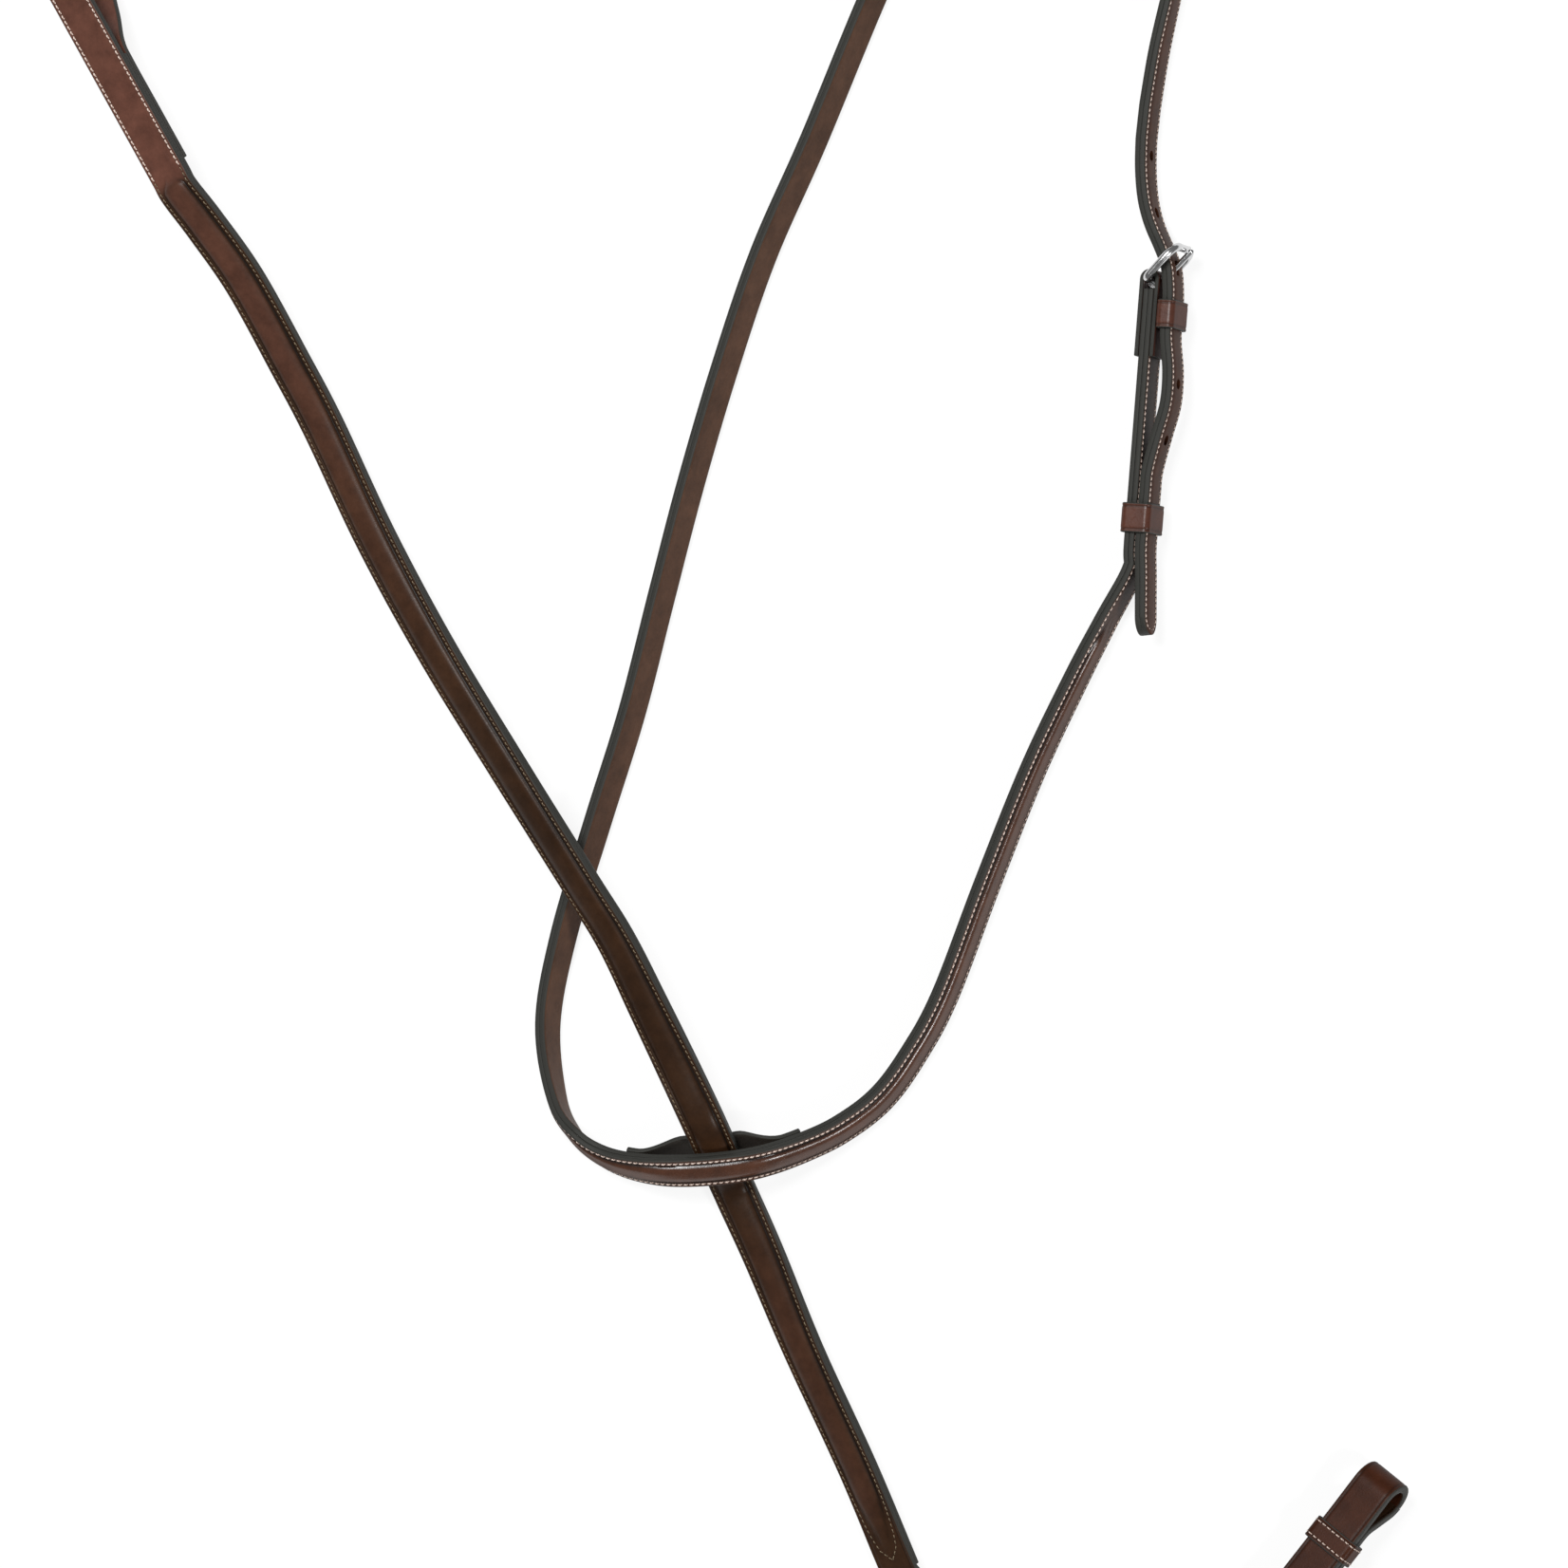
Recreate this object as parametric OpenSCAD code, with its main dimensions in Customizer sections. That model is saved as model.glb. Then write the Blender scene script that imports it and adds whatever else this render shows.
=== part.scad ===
// Standing martingale laid on a table: a neck strap with its buckle, and a strap that slides through
// the tunnel on the neck strap, with a noseband loop at one end and a buckled girth loop at the other.
// Millimetres, +Z up, table at Z = 0, origin under the middle of the whole object.

/* [Leather] */
// Thickness of the outer ply of the raised straps
face_t = 2.4; // [2:0.1:2.8]
// Thickness of the lining ply of the raised straps
lining_t = 2.4; // [2:0.1:2.8]
// Height of the raised crown above the stitched margins
crown_h = 1.6; // [1:0.1:2]
// Width of the flat stitched margin on each side of the crown
margin_w = 3.4; // [3:0.1:4]

/* [Neck strap] */
// Width of the neck strap
neck_w = 16; // [14:0.5:17]
// Thickness of the tunnel ply behind the neck strap
tunnel_t = 2.4; // [2:0.1:2.8]
// Room beside the sliding strap inside the tunnel, for its slope
tunnel_room = 3; // [2.6:0.1:4]
// Diameter of a punched hole in a billet
hole_d = 4.5; // [4:0.5:5.5]
// Distance between the punched holes
hole_pitch = 25; // [22:1:26]

/* [Sliding strap] */
// Width of the sliding strap and of the girth strap
body_w = 19; // [17:0.5:20]
// Thickness of the single ply of the girth strap
girth_t = 4; // [3.4:0.1:4.4]
// Height of the opening of the noseband loop
loop_open = 22; // [18:0.5:25]
// Height of the eye at the end of the girth loop
eye_open = 12; // [10:0.5:13]
// How far the strap can be let out through the tunnel
let_out = 3; // [1:1:3]

/* [Buckles] */
// Diameter of the frame's rod
rod_d = 3.6; // [3.2:0.1:3.8]
// Length of the frame from its bar to its front
frame_len = 19; // [18:0.5:22]
// Bend radius of the frame at its front corners
front_r = 6; // [4:0.5:7]
// Diameter of the tongue
tongue_d = 2.6; // [2.2:0.1:2.8]
// Thickness of the leather folded round the bar
chape_t = 2; // [1.6:0.1:2.2]
// Length of the folded leather's legs
chape_len = 34; // [30:1:38]
// Angle of the neck buckle's frame above its strap
neck_tilt = 40; // [38:1:44]
// Angle of the girth buckle's frame above its strap
girth_tilt = 26; // [25:1:30]
// Play of a fastened frame each way, in degrees
frame_play = 4; // [2:1:5]
// Lift of a fastened tongue off its frame, in degrees
tongue_lift = 6; // [3:1:8]

/* [Keepers] */
// Wall of the keepers and runners
keeper_wall = 1.5; // [1.2:0.1:1.8]
// Length of the fixed keepers
keeper_len = 12.5; // [10:0.5:14]
// Length of the sliding runner on the neck strap
runner_len = 13; // [10:0.5:15]
// Length of the sliding runner on the girth loop
girth_runner_len = 10.5; // [9:0.5:13]
// Travel of the runners each way
runner_travel = 6; // [3:1:6]

/* [Fits] */
// Film of glue between sewn plies
glue = 0.1; // [0.06:0.02:0.14]
// Clearance of leather that slides past leather or metal
slip = 0.4; // [0.3:0.05:0.5]
// Clearance of the tongue's eye on the bar
eye_fit = 0.25; // [0.15:0.05:0.3]

/* [Hidden] */
$fn = 48;

// Moves the laid-out object so that the origin lies under the middle of its box
layout_shift = [4.2, -8, 0.1];

// Two sewn plies, measured at the flat margin
ply_t = face_t + glue + lining_t;
half_t = ply_t / 2;
raised_t = ply_t + crown_h;
rod_r = rod_d / 2;
tongue_r = tongue_d / 2;

// Rings of a sweep on each stretch between two route points
steps = 3;

// Smooth curve through the points of a route, on the stretch that starts at point i
function curve(p, i, f) =
  let (a = p[max(i - 1, 0)], b = p[i], c = p[i + 1], d = p[min(i + 2, len(p) - 1)])
  b + 0.5 * f * (c - a + f * (2 * a - 5 * b + 4 * c - d + f * (3 * b - a - 3 * c + d)));
function smooth(p, n) = [
  for (i = [0:len(p) - 2]) for (k = [0:n - 1]) curve(p, i, k / n),
  p[len(p) - 1]
];
function unit(v) = v / norm(v);
// Eased step from 0 to 1 as x goes from a to b
function ease(x, a, b) = let (f = max(0, min(1, (x - a) / (b - a)))) f * f * (3 - 2 * f);
function part_of(list, a, b) = [for (i = [a:b]) list[i]];

// Height of a strap's middle when its lowest edge is on the table, at a given lean
function rest_z(w, lean) = w / 2 * abs(sin(lean)) + half_t * abs(cos(lean));
// A route point is [x, y, lean, lift]; lean turns the face to the right of travel, lift is off the table
function centre(s, w) = [s[0], s[1], max(0, s[3]) + rest_z(w, s[2])];
// A frame is [middle, width direction, face direction]
function frames(st, w) =
  let (c = [for (s = st) centre(s, w)], m = len(c) - 1)
  [
    for (i = [0:m])
      let (
        t = unit(c[min(i + 1, m)] - c[max(i - 1, 0)]),
        h = unit(cross([0, 0, 1], t)),
        v = cross(t, h),
        lean = st[i][2]
      )
      [c[i], cos(lean) * h + sin(lean) * v, cos(lean) * v - sin(lean) * h]
  ];
function ring(f, section) = [for (q = section) f[0] + q[0] * f[1] + q[1] * f[2]];

// Solid through rings of equal count; the quads split alike on facing plies, so that these stay apart
module sweep(rings, low_edges) {
  k = len(rings[0]);
  m = len(rings) - 1;
  first = [for (j = [0:k - 1]) j];
  last = [for (j = [k - 1:-1:0]) m * k + j];
  sides = [
    for (i = [0:m - 1]) for (j = [0:k - 1])
      let (a = i * k + j, b = i * k + (j + 1) % k, c = b + k, d = a + k)
      each (j < low_edges ? [[a, d, c], [a, c, b]] : [[a, d, b], [b, d, c]])
  ];
  polyhedron(points = [for (r = rings) each r], faces = concat([first], sides, [last]), convexity = 10);
}

// Sections of the plies, in width and height from the strap's middle: lower edge first, from left to right
function raised_us(w) = let (c = w / 2 - margin_w) [-w / 2, -c, -c / 2, 0, c / 2, c, w / 2];
crown_shape = [0, 0, 0.8, 1, 0.8, 0, 0];
// Crown left where a raised strap runs out flat
flat_crown = 0.001;
seam_v = lining_t - half_t + glue / 2;
function face_section(w, crown) =
  let (us = raised_us(w), v = seam_v + glue / 2, top = v + face_t)
  concat(
    [for (i = [0:6]) [us[i], v + crown_shape[i] * crown]],
    [for (i = [6:-1:0]) [us[i], top + crown_shape[i] * crown]]
  );
function lining_section(w) =
  let (us = raised_us(w))
  concat([[-w / 2, -half_t], [w / 2, -half_t]], [for (i = [6:-1:0]) [us[i], -half_t + lining_t]]);
// Core: short of the crown's feet, with a thin lip at its sides
core_inset = 0.5;
core_lip = 0.12;
function core_section(w, crown) =
  let (us = raised_us(w), v = seam_v + glue / 2, low = core_lip * crown)
  concat(
    [[us[1] + core_inset, v], for (i = [2:4]) [us[i], v], [us[5] - core_inset, v]],
    [for (i = [4:-1:2]) [us[i], v + low + crown_shape[i] * (crown - low - glue)]]
  );
function flat_section(w, low, high) = [[-w / 2, low], [w / 2, low], [w / 2, high], [-w / 2, high]];

// Band of leather along a path in the plane of its length and height
function band(path, t) =
  let (
    m = len(path) - 1,
    side = [
      for (i = [0:m])
        let (d = unit(path[min(i + 1, m)] - path[max(i - 1, 0)])) [-d[1], d[0]] * t / 2
    ]
  )
  concat([for (i = [0:m]) path[i] + side[i]], [for (i = [m:-1:0]) path[i] - side[i]]);
module across(w) {
  rotate([90, 0, 0])
    linear_extrude(height = w, center = true)
      children();
}
module rounded_box(w, h, r) {
  square([w - 2 * r, h], center = true);
  square([w, h - 2 * r], center = true);
  for (x = [-1, 1], y = [-1, 1]) translate([x * (w / 2 - r), y * (h / 2 - r)]) circle(r);
}

// Buckle run of the neck strap: straight, its bar at the top, its strap going down from the bar
run_lean = -66;
run_head = -94.5;
bar_xy = [194.5, 221];
run_dir = [cos(run_head), sin(run_head)];
rail_w = neck_w / 2 + slip + rod_d;
run_lift = (rail_w + rod_r) * abs(sin(run_lean)) + rod_r * cos(run_lean) - rest_z(neck_w, run_lean);
bar_at = centre([bar_xy[0], bar_xy[1], run_lean, run_lift], neck_w);
run_u = [cos(run_lean) * -run_dir[1], cos(run_lean) * run_dir[0], sin(run_lean)];
run_n = [sin(run_lean) * run_dir[1], -sin(run_lean) * run_dir[0], cos(run_lean)];
module on_neck_run() {
  translate(layout_shift) translate(bar_at) rotate([run_lean, 0, run_head]) children();
}
function run_station(a) = [bar_xy[0] + a * run_dir[0], bar_xy[1] + a * run_dir[1], run_lean, run_lift];

// Radius inside the fold round the bar, and the strap's end short of the bar and the tongue's eye
fold_r = half_t + glue;
fold_out = fold_r + chape_t;
eye_r = rod_r + eye_fit + tongue_d / 2;
strap_start = eye_r + 2 * slip;
// Heights above the strap's middle: billet in the fixed keeper, and billet in the runner
keeper_seat = fold_out + glue;
billet_high = keeper_seat + keeper_wall + slip + half_t;
billet_low = half_t + slip + half_t;
neck_keeper_at = 15;
neck_runner_at = 105;
// Half of the straight stretch that a runner needs
function straight_for(len) = len / 2 + runner_travel + slip;
run_flat = straight_for(runner_len);

// Tunnel: the strap slides down through it, between the neck strap and the ply behind it
tunnel_lean = -38;
tunnel_gap = raised_t + tunnel_room;
slide_head = -67;
slide_slope = 31;
slide_lean = 12.5;
slide_dir = [cos(slide_slope) * cos(slide_head), cos(slide_slope) * sin(slide_head), -sin(slide_slope)];
// Straight stretch of the sliding strap past the crossing, down to the table
slide_low = 23;
slide_z = rest_z(body_w, slide_lean) + slide_low * sin(slide_slope);
// Drop from the neck strap's middle to the sliding strap's, and its sideways share where they cross askew
cross_drop = half_t + (tunnel_gap + crown_h) / 2;
cross_skew = 0.12;
cross_dir = [cross_skew * sin(-tunnel_lean), sin(-tunnel_lean), -cos(tunnel_lean)];
tunnel_lift = slide_z + cross_drop * cos(tunnel_lean) - rest_z(neck_w, tunnel_lean);
neck_cross = [2, -169, tunnel_lean, tunnel_lift];
slide_at = centre(neck_cross, neck_w) + cross_drop * cross_dir;

// Lean of the neck strap's left branch, which lies on its face with the lining up
left_lean = -122;

// Route of the neck strap from the buckle round to the billet
neck_route = [
  run_station(strap_start), run_station(60), run_station(neck_runner_at + run_flat - 2),
  run_station(neck_runner_at + run_flat + 10), [173, 71.5, -62, 0.5 * run_lift], [160, 46, -58, 0],
  [141, 6, -56, 0], [121, -44, -55, 0], [102, -94, -54, 0], [88, -120, -53, 0], [74, -139, -51, 0],
  [57, -152, -49, 0.14 * tunnel_lift], [40, -160, -46, 0.5 * tunnel_lift],
  [21, -166, -41, 0.94 * tunnel_lift], neck_cross, [-20, -170, -42, 0.9 * tunnel_lift],
  [-38, -168, -56, 0.44 * tunnel_lift], [-51, -163, -72, 0.1 * tunnel_lift], [-61, -154, -88, 0],
  [-69, -139, -104, 0], [-73, -106, -116, 0], [-66, -67, -120, 0], [-51, -17, left_lean, 0],
  [-36, 31, left_lean, 0], [-23, 82, left_lean, 0], [-10, 132, left_lean, 0], [5, 183, left_lean, 0],
  [22, 233, left_lean, 0], [44, 283, left_lean, 0], [70, 346, left_lean, 0], [90, 389, -118, 0],
  [113, 426, -110, 0], [142, 451, -100, 0], [174, 457, -90, 0], [199, 443, -83, 0],
  [211, 414, -79, 0], [211, 384, -75, 0], [205.3, 361, -72, 0.05 * run_lift], [200.3, 340, -69, 0.1 * run_lift],
  [196, 320, -67, 0.16 * run_lift], [192.4, 298, run_lean, 0.22 * run_lift]
];
tunnel_from = 12;
tunnel_to = 16;
crown_from = 4;
billet_from = 35;
neck_frames = frames(smooth(neck_route, steps), neck_w);
neck_strap_rings = billet_from * steps;
function neck_crown(i) =
  max(flat_crown, crown_h * min(ease(i, crown_from * steps, crown_from * steps + 2),
    1 - ease(i, neck_strap_rings - 2, neck_strap_rings)));

module neck_face() {
  color("#4b2b21")
    translate(layout_shift)
      sweep([for (i = [0:neck_strap_rings]) ring(neck_frames[i], face_section(neck_w, neck_crown(i)))], 6);
}
module neck_core() {
  color("#8a6a4c")
    translate(layout_shift)
      sweep([
        for (i = [crown_from * steps + 2:neck_strap_rings - 2])
          ring(neck_frames[i], core_section(neck_w, neck_crown(i)))
      ], 4);
}
module neck_lining() {
  color("#50372a")
    translate(layout_shift)
      sweep([for (i = [0:neck_strap_rings]) ring(neck_frames[i], lining_section(neck_w))], 1);
}

// Ply behind the neck strap, sewn at both ends and standing off between them
module neck_tunnel() {
  first = tunnel_from * steps;
  count = (tunnel_to - tunnel_from) * steps;
  color("#3e403e")
    translate(layout_shift)
      sweep([
        for (i = [0:count])
          let (
            f = i / count,
            off = tunnel_gap * ease(f, 0.1, 0.36) * (1 - ease(f, 0.66, 0.92)),
            high = -half_t - glue - off
          )
          ring(neck_frames[first + i], flat_section(neck_w, high - tunnel_t, high))
      ], 1);
}

// Billet of the neck strap: under the front of the frame, over the bar and down into the keepers
billet_path = [
  [62, -9.4], [49, -8.6], [36, -6.4], [25, -2.6], [14, 3.3], [7, 6.7], [0, billet_high - 0.8],
  [-8, billet_high], [-16, billet_high], [-26, billet_high + 0.4], [-40, billet_high + 2.6],
  [-54, billet_high + 2.6], [-68, billet_high - 0.4], [-neck_runner_at + run_flat + 9, billet_low + 0.3],
  [-neck_runner_at + run_flat, billet_low], [-neck_runner_at, billet_low],
  [-neck_runner_at - run_flat, billet_low], [-neck_runner_at - run_flat - 12, billet_low + 1.1],
  [-150, billet_low + 2.7], [-156, billet_low + 3.5]
];
// Width of a strap's rounded tip, as a share, where x goes from 0 to 1 along the tip
function tip_share(x) = sqrt(max(0.06, 1 - x * x));
function path_frames(path, at, along, u, up) =
  let (m = len(path) - 1)
  [
    for (i = [0:m])
      let (
        d = path[min(i + 1, m)] - path[max(i - 1, 0)],
        t = unit(-d[0] * along + d[1] * up)
      )
      [at - path[i][0] * along + path[i][1] * up, u, cross(t, u)]
  ];
neck_along = [run_dir[0], run_dir[1], 0];
neck_billet_frames = concat(
  part_of(neck_frames, neck_strap_rings, len(neck_frames) - 1),
  path_frames(smooth(billet_path, 2), bar_at, neck_along, run_u, run_n)
);
billet_tip_rings = 3;
module billet_sweep(f, w, low, high) {
  m = len(f) - 1;
  sweep([
    for (i = [0:m])
      let (share = tip_share(max(0, i - m + billet_tip_rings) / billet_tip_rings))
      ring(f[i], flat_section(w * share, low, high))
  ], 1);
}
// Cut that a tongue sweeps through a billet over the buckle's whole play
module tongue_cut(tilt) {
  for (swing = [-frame_play:2:frame_play + tongue_lift])
    rotate([0, swing, 0])
      tongue_line(tilt)
        cylinder(r = tongue_r + slip, h = frame_len);
}
// Punched hole of a billet, and how far before the bar the hole in use sits
tongue_reach = 5;
module punch() {
  cylinder(d = hole_d, h = 16 * half_t, center = true);
}
module neck_billet() {
  color("#4b2b21")
    difference() {
      translate(layout_shift) billet_sweep(neck_billet_frames, neck_w, -half_t, half_t);
      on_neck_run() {
        tongue_cut(neck_tilt);
        for (i = [-2, -1, 2, 3]) translate([i * hole_pitch - tongue_reach, 0, 0]) punch();
      }
    }
}

// Leather folded round the bar; its legs clasp the strap's end
slot_w = tongue_d + 2 * slip;
module tongue_slot(w, r) {
  far = r + slip;
  translate([-far, -w / 2, -far]) cube([far + eye_r + slip, w, 2 * far]);
}
module neck_chape() {
  color("#5a3226")
    on_neck_run()
      difference() {
        across(neck_w)
          difference() {
            union() {
              circle(fold_out);
              translate([0, -fold_out]) square([chape_len, 2 * fold_out]);
            }
            circle(fold_r);
            translate([0, -fold_r]) square([chape_len + slip, 2 * fold_r]);
          }
        tongue_slot(slot_w, fold_out);
      }
}

// Rectangular loop of leather round one or two straps
module loop_keeper(len, w, h) {
  rotate([90, 0, 90])
    linear_extrude(height = len, center = true)
      difference() {
        rounded_box(w + 2 * keeper_wall, h + 2 * keeper_wall, keeper_wall);
        square([w, h], center = true);
      }
}
module neck_keeper() {
  color("#50372a")
    on_neck_run()
      translate([neck_keeper_at, 0, billet_high])
        loop_keeper(keeper_len, neck_w + 2 * slip, ply_t + 2 * slip);
}
module neck_runner() {
  color("#50372a")
    on_neck_run()
      translate([neck_runner_at, 0, billet_low / 2])
        loop_keeper(runner_len, neck_w + 2 * slip, billet_low + ply_t + 2 * slip);
}

// Frame of round rod: bar across the strap, two rails, and a front with bent corners
module corner(r, turn) {
  rotate([0, 0, turn]) rotate_extrude(angle = 90) translate([r, 0]) circle(rod_r);
}
// A straight rod runs on into the corners at its ends, a hair thinner so that it stays inside their bend
weld_len = 0.3;
weld_less = 0.05;
module rod(p, turn, len) {
  translate(p)
    rotate([0, 0, turn])
      rotate([0, 90, 0])
        translate([0, 0, -weld_len])
          cylinder(r = rod_r - weld_less, h = len + 2 * weld_len);
}
bar_r = 2.4;
module buckle_frame(w, tilt) {
  half = w / 2 + slip + rod_d;
  rotate([0, tilt, 0]) {
    rod([0, -half + bar_r, 0], 90, 2 * (half - bar_r));
    for (s = [-1, 1]) {
      rod([-frame_len + front_r, s * half, 0], 0, frame_len - front_r - bar_r);
      translate([-bar_r, s * (half - bar_r), 0]) corner(bar_r, s > 0 ? 0 : -90);
      translate([-frame_len + front_r, s * (half - front_r), 0]) corner(front_r, s > 0 ? 90 : 180);
    }
    rod([-frame_len, -half + front_r, 0], 90, 2 * (half - front_r));
  }
}
// Line of the tongue: from its eye on the bar to its rest on top of the frame's front
tongue_off = rod_r + eye_fit + tongue_r / 2;
module tongue_line(tilt) {
  rest = asin((rod_r + tongue_r + eye_fit - tongue_off) / frame_len);
  rotate([0, tilt + rest, 0]) translate([0, 0, tongue_off]) rotate([0, -90, 0]) children();
}
module buckle_tongue(tilt) {
  difference() {
    union() {
      rotate([90, 0, 0]) cylinder(r = eye_r, h = tongue_d, center = true);
      tongue_line(tilt) {
        cylinder(r = tongue_r, h = frame_len + tongue_d / 2);
        translate([0, 0, frame_len + tongue_d / 2]) sphere(tongue_r);
      }
    }
    rotate([90, 0, 0]) cylinder(r = rod_r + eye_fit, h = 4 * tongue_d, center = true);
  }
}
module neck_frame() {
  color("silver") on_neck_run() buckle_frame(neck_w, neck_tilt);
}
module neck_tongue() {
  color("silver") on_neck_run() buckle_tongue(neck_tilt);
}

// Noseband end of the sliding strap: straight, leaning, held off the table by the loop's back ply
nose_head = -61;
nose_lean = 30;
nose_xy = [-238, 267];
nose_sewn = 55;
nose_len = 148;
// Middles of the front ply, of the back ply where it is sewn on, and of the back ply across the opening
nose_front = seam_v + glue / 2 + face_t / 2;
nose_back = -half_t - glue - face_t / 2;
nose_low = nose_front - loop_open;
nose_lift = (face_t / 2 - half_t - nose_low) * cos(nose_lean) + glue;
nose_dir = [cos(nose_head), sin(nose_head)];
nose_at = centre([nose_xy[0], nose_xy[1], nose_lean, nose_lift], body_w);
function nose_station(a) = [nose_xy[0] + a * nose_dir[0], nose_xy[1] + a * nose_dir[1], nose_lean, nose_lift];

// Height that clears the neck strap where the sliding strap lies over it, drawn through or not
neck_top = neck_w * abs(sin(left_lean)) + ply_t * abs(cos(left_lean)) + crown_h;
over_lean = 38;
over_lift = neck_top + let_out * sin(slide_slope) + slip;
over_mid = over_lift + rest_z(body_w, over_lean);
function over_station(x, y, lean) = [x, y, lean, over_mid - rest_z(body_w, lean)];
function slide_station(a) =
  let (p = slide_at + a * slide_dir)
  [p[0], p[1], slide_lean, p[2] - rest_z(body_w, slide_lean)];

// Girth buckle run: flat on the table; girth loop run: straight and leaning, on its runner
girth_y = -430;
girth_bar_x = 188;
loop_head = 52;
loop_lean = -30;
loop_xy = [262.7, -347];
loop_len = 56;
girth_runner_at = 17;
// Heights from the strap's middle: the single ply, its return ply, and the eye hanging under the upper ply
girth_low = -half_t;
girth_high = girth_low + girth_t;
return_mid = girth_high + slip + girth_t / 2;
eye_rise = 0.6;
eye_turn_r = (eye_open + girth_t) / 2;
eye_low = return_mid + eye_rise - 2 * eye_turn_r - girth_t / 2;
loop_lift = (-half_t - eye_low) * cos(loop_lean) + glue;
loop_dir = [cos(loop_head), sin(loop_head)];
loop_at = centre([loop_xy[0], loop_xy[1], loop_lean, loop_lift], body_w);
function loop_station(a) = [loop_xy[0] + a * loop_dir[0], loop_xy[1] + a * loop_dir[1], loop_lean, loop_lift];

body_route = [
  nose_station(-nose_sewn), nose_station(-nose_sewn / 2), nose_station(0), nose_station(9),
  [-222.5, 244.5, 27, 0.85 * nose_lift], [-205.5, 220, 24, 0.6 * nose_lift],
  [-186, 184, 22, 0.25 * nose_lift], [-172, 157, 22, 0.05 * nose_lift], [-148.5, 107, 25, 0.02 * over_lift],
  [-121, 57, 31, 0.3 * over_lift], [-89.3, 6, 36, 0.8 * over_lift], over_station(-57.8, -44, over_lean),
  over_station(-42.3, -69, 36), over_station(-28, -98, 28), over_station(-15, -125, 19), slide_station(-22),
  slide_station(-8), slide_station(8), slide_station(slide_low), [22, -208, 22, 0], [40, -251, 33, 0],
  [64, -303, 35, 0], [84, -351, 33, 0], [94, -374, 28, 0], [108, -399, 18, 0], [123, -419, 7, 0],
  [137, -428, 1.5, 0], [150, girth_y, 0, 0], [175, girth_y, 0, 0], [205, girth_y, 0, 0],
  [222, -428, -2, 0], [236, -418, -7, 0], [242, -399, -14, 0.1 * loop_lift], [245.8, -380, -22, 0.5 * loop_lift],
  loop_station(-20), loop_station(-8), loop_station(0)
];
face_from = 2;
girth_from = 22;
body_frames = frames(smooth(body_route, steps), body_w);
face_rings = face_from * steps;
body_rings = girth_from * steps;
function body_crown(i) =
  max(flat_crown, crown_h * min(ease(i, face_rings, face_rings + 2),
    1 - ease(i, body_rings - 3, body_rings - 1)));

module body_face() {
  color("#4b2b21")
    translate(layout_shift)
      sweep([for (i = [face_rings:body_rings]) ring(body_frames[i], face_section(body_w, body_crown(i)))], 6);
}
module body_core() {
  color("#8a6a4c")
    translate(layout_shift)
      sweep([
        for (i = [face_rings + 2:body_rings - 3])
          ring(body_frames[i], core_section(body_w, body_crown(i)))
      ], 4);
}
module body_lining() {
  color("#50372a")
    translate(layout_shift)
      sweep([for (i = [0:body_rings]) ring(body_frames[i], lining_section(body_w))], 1);
}

// Noseband loop: the face's own leather carried on, folded over and sewn behind the lining
nose_end = -3;
nose_path = smooth([
  [-slip, nose_front], [-nose_sewn / 2, nose_front], [-nose_sewn, nose_front], [-nose_sewn - 30, nose_front],
  [-nose_len + 22, nose_front], [-nose_len + 6, nose_front - 0.16 * loop_open],
  [-nose_len, nose_front - 0.5 * loop_open], [-nose_len + 5, nose_low + 0.13 * loop_open],
  [-nose_len + 20, nose_low], [-nose_sewn - 38, nose_low + 0.06 * loop_open],
  [-nose_sewn - 20, 0.55 * nose_low + 0.45 * nose_back], [-nose_sewn - 6, 0.08 * nose_low + 0.92 * nose_back],
  [-nose_sewn + 4, nose_back], [-nose_sewn / 2, nose_back], [nose_end - 8, nose_back], [nose_end, nose_back]
], steps);
module noseband_loop() {
  color("#4b2b21")
    translate(layout_shift)
      translate(nose_at)
        rotate([nose_lean, 0, nose_head])
          across(body_w)
            polygon(band(nose_path, face_t));
}

// Girth strap: a single ply from the end of the raised part to the girth loop
module girth_strap() {
  color("#472b21")
    translate(layout_shift)
      sweep([
        for (i = [body_rings:len(body_frames) - 1])
          ring(body_frames[i], flat_section(body_w, girth_low, girth_high))
      ], 1);
}

// Return ply of the girth strap, lying on the strap and then rising over the bar of its buckle
girth_fold_r = rod_r + slip;
girth_fold_out = girth_fold_r + chape_t;
girth_bar = [girth_bar_x, girth_y, girth_t + glue + girth_fold_out];
module on_girth_run() {
  translate(layout_shift) translate(girth_bar) rotate([0, 0, 180]) children();
}
return_rest = -girth_fold_out - glue + slip + girth_t / 2;
leg_top = -girth_fold_out + 2 * chape_t + glue;
girth_seat = leg_top + glue + keeper_wall + slip + girth_t / 2;
girth_over = girth_fold_out + slip + girth_t / 2;
girth_keeper_at = 24;
return_path = [
  [26, return_rest + 1.2], [18, return_rest + 3.4], [10, girth_over - 1.6],
  [4, girth_over - 0.2], [-1, girth_over], [-6, girth_over - 0.8], [-11, girth_seat + 0.5],
  [-15, girth_seat], [-24, girth_seat], [-33, girth_seat], [-44, girth_seat - 1], [-58, return_rest + 1],
  [-70, return_rest + 0.6], [-76, return_rest + 0.8]
];
return_from = 30;
girth_return_frames = concat(
  [
    for (i = [len(body_frames) - 1:-1:return_from * steps])
      let (f = body_frames[i]) [f[0] + return_mid * f[2], -f[1], f[2]]
  ],
  path_frames(smooth(return_path, 2), girth_bar, [-1, 0, 0], [0, -1, 0], [0, 0, 1])
);
module girth_billet() {
  color("#472b21")
    difference() {
      translate(layout_shift) billet_sweep(girth_return_frames, body_w, -girth_t / 2, girth_t / 2);
      on_girth_run() {
        tongue_cut(girth_tilt);
        for (i = [-1, 2]) translate([i * hole_pitch - tongue_reach, 0, 0]) punch();
      }
    }
}

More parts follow.
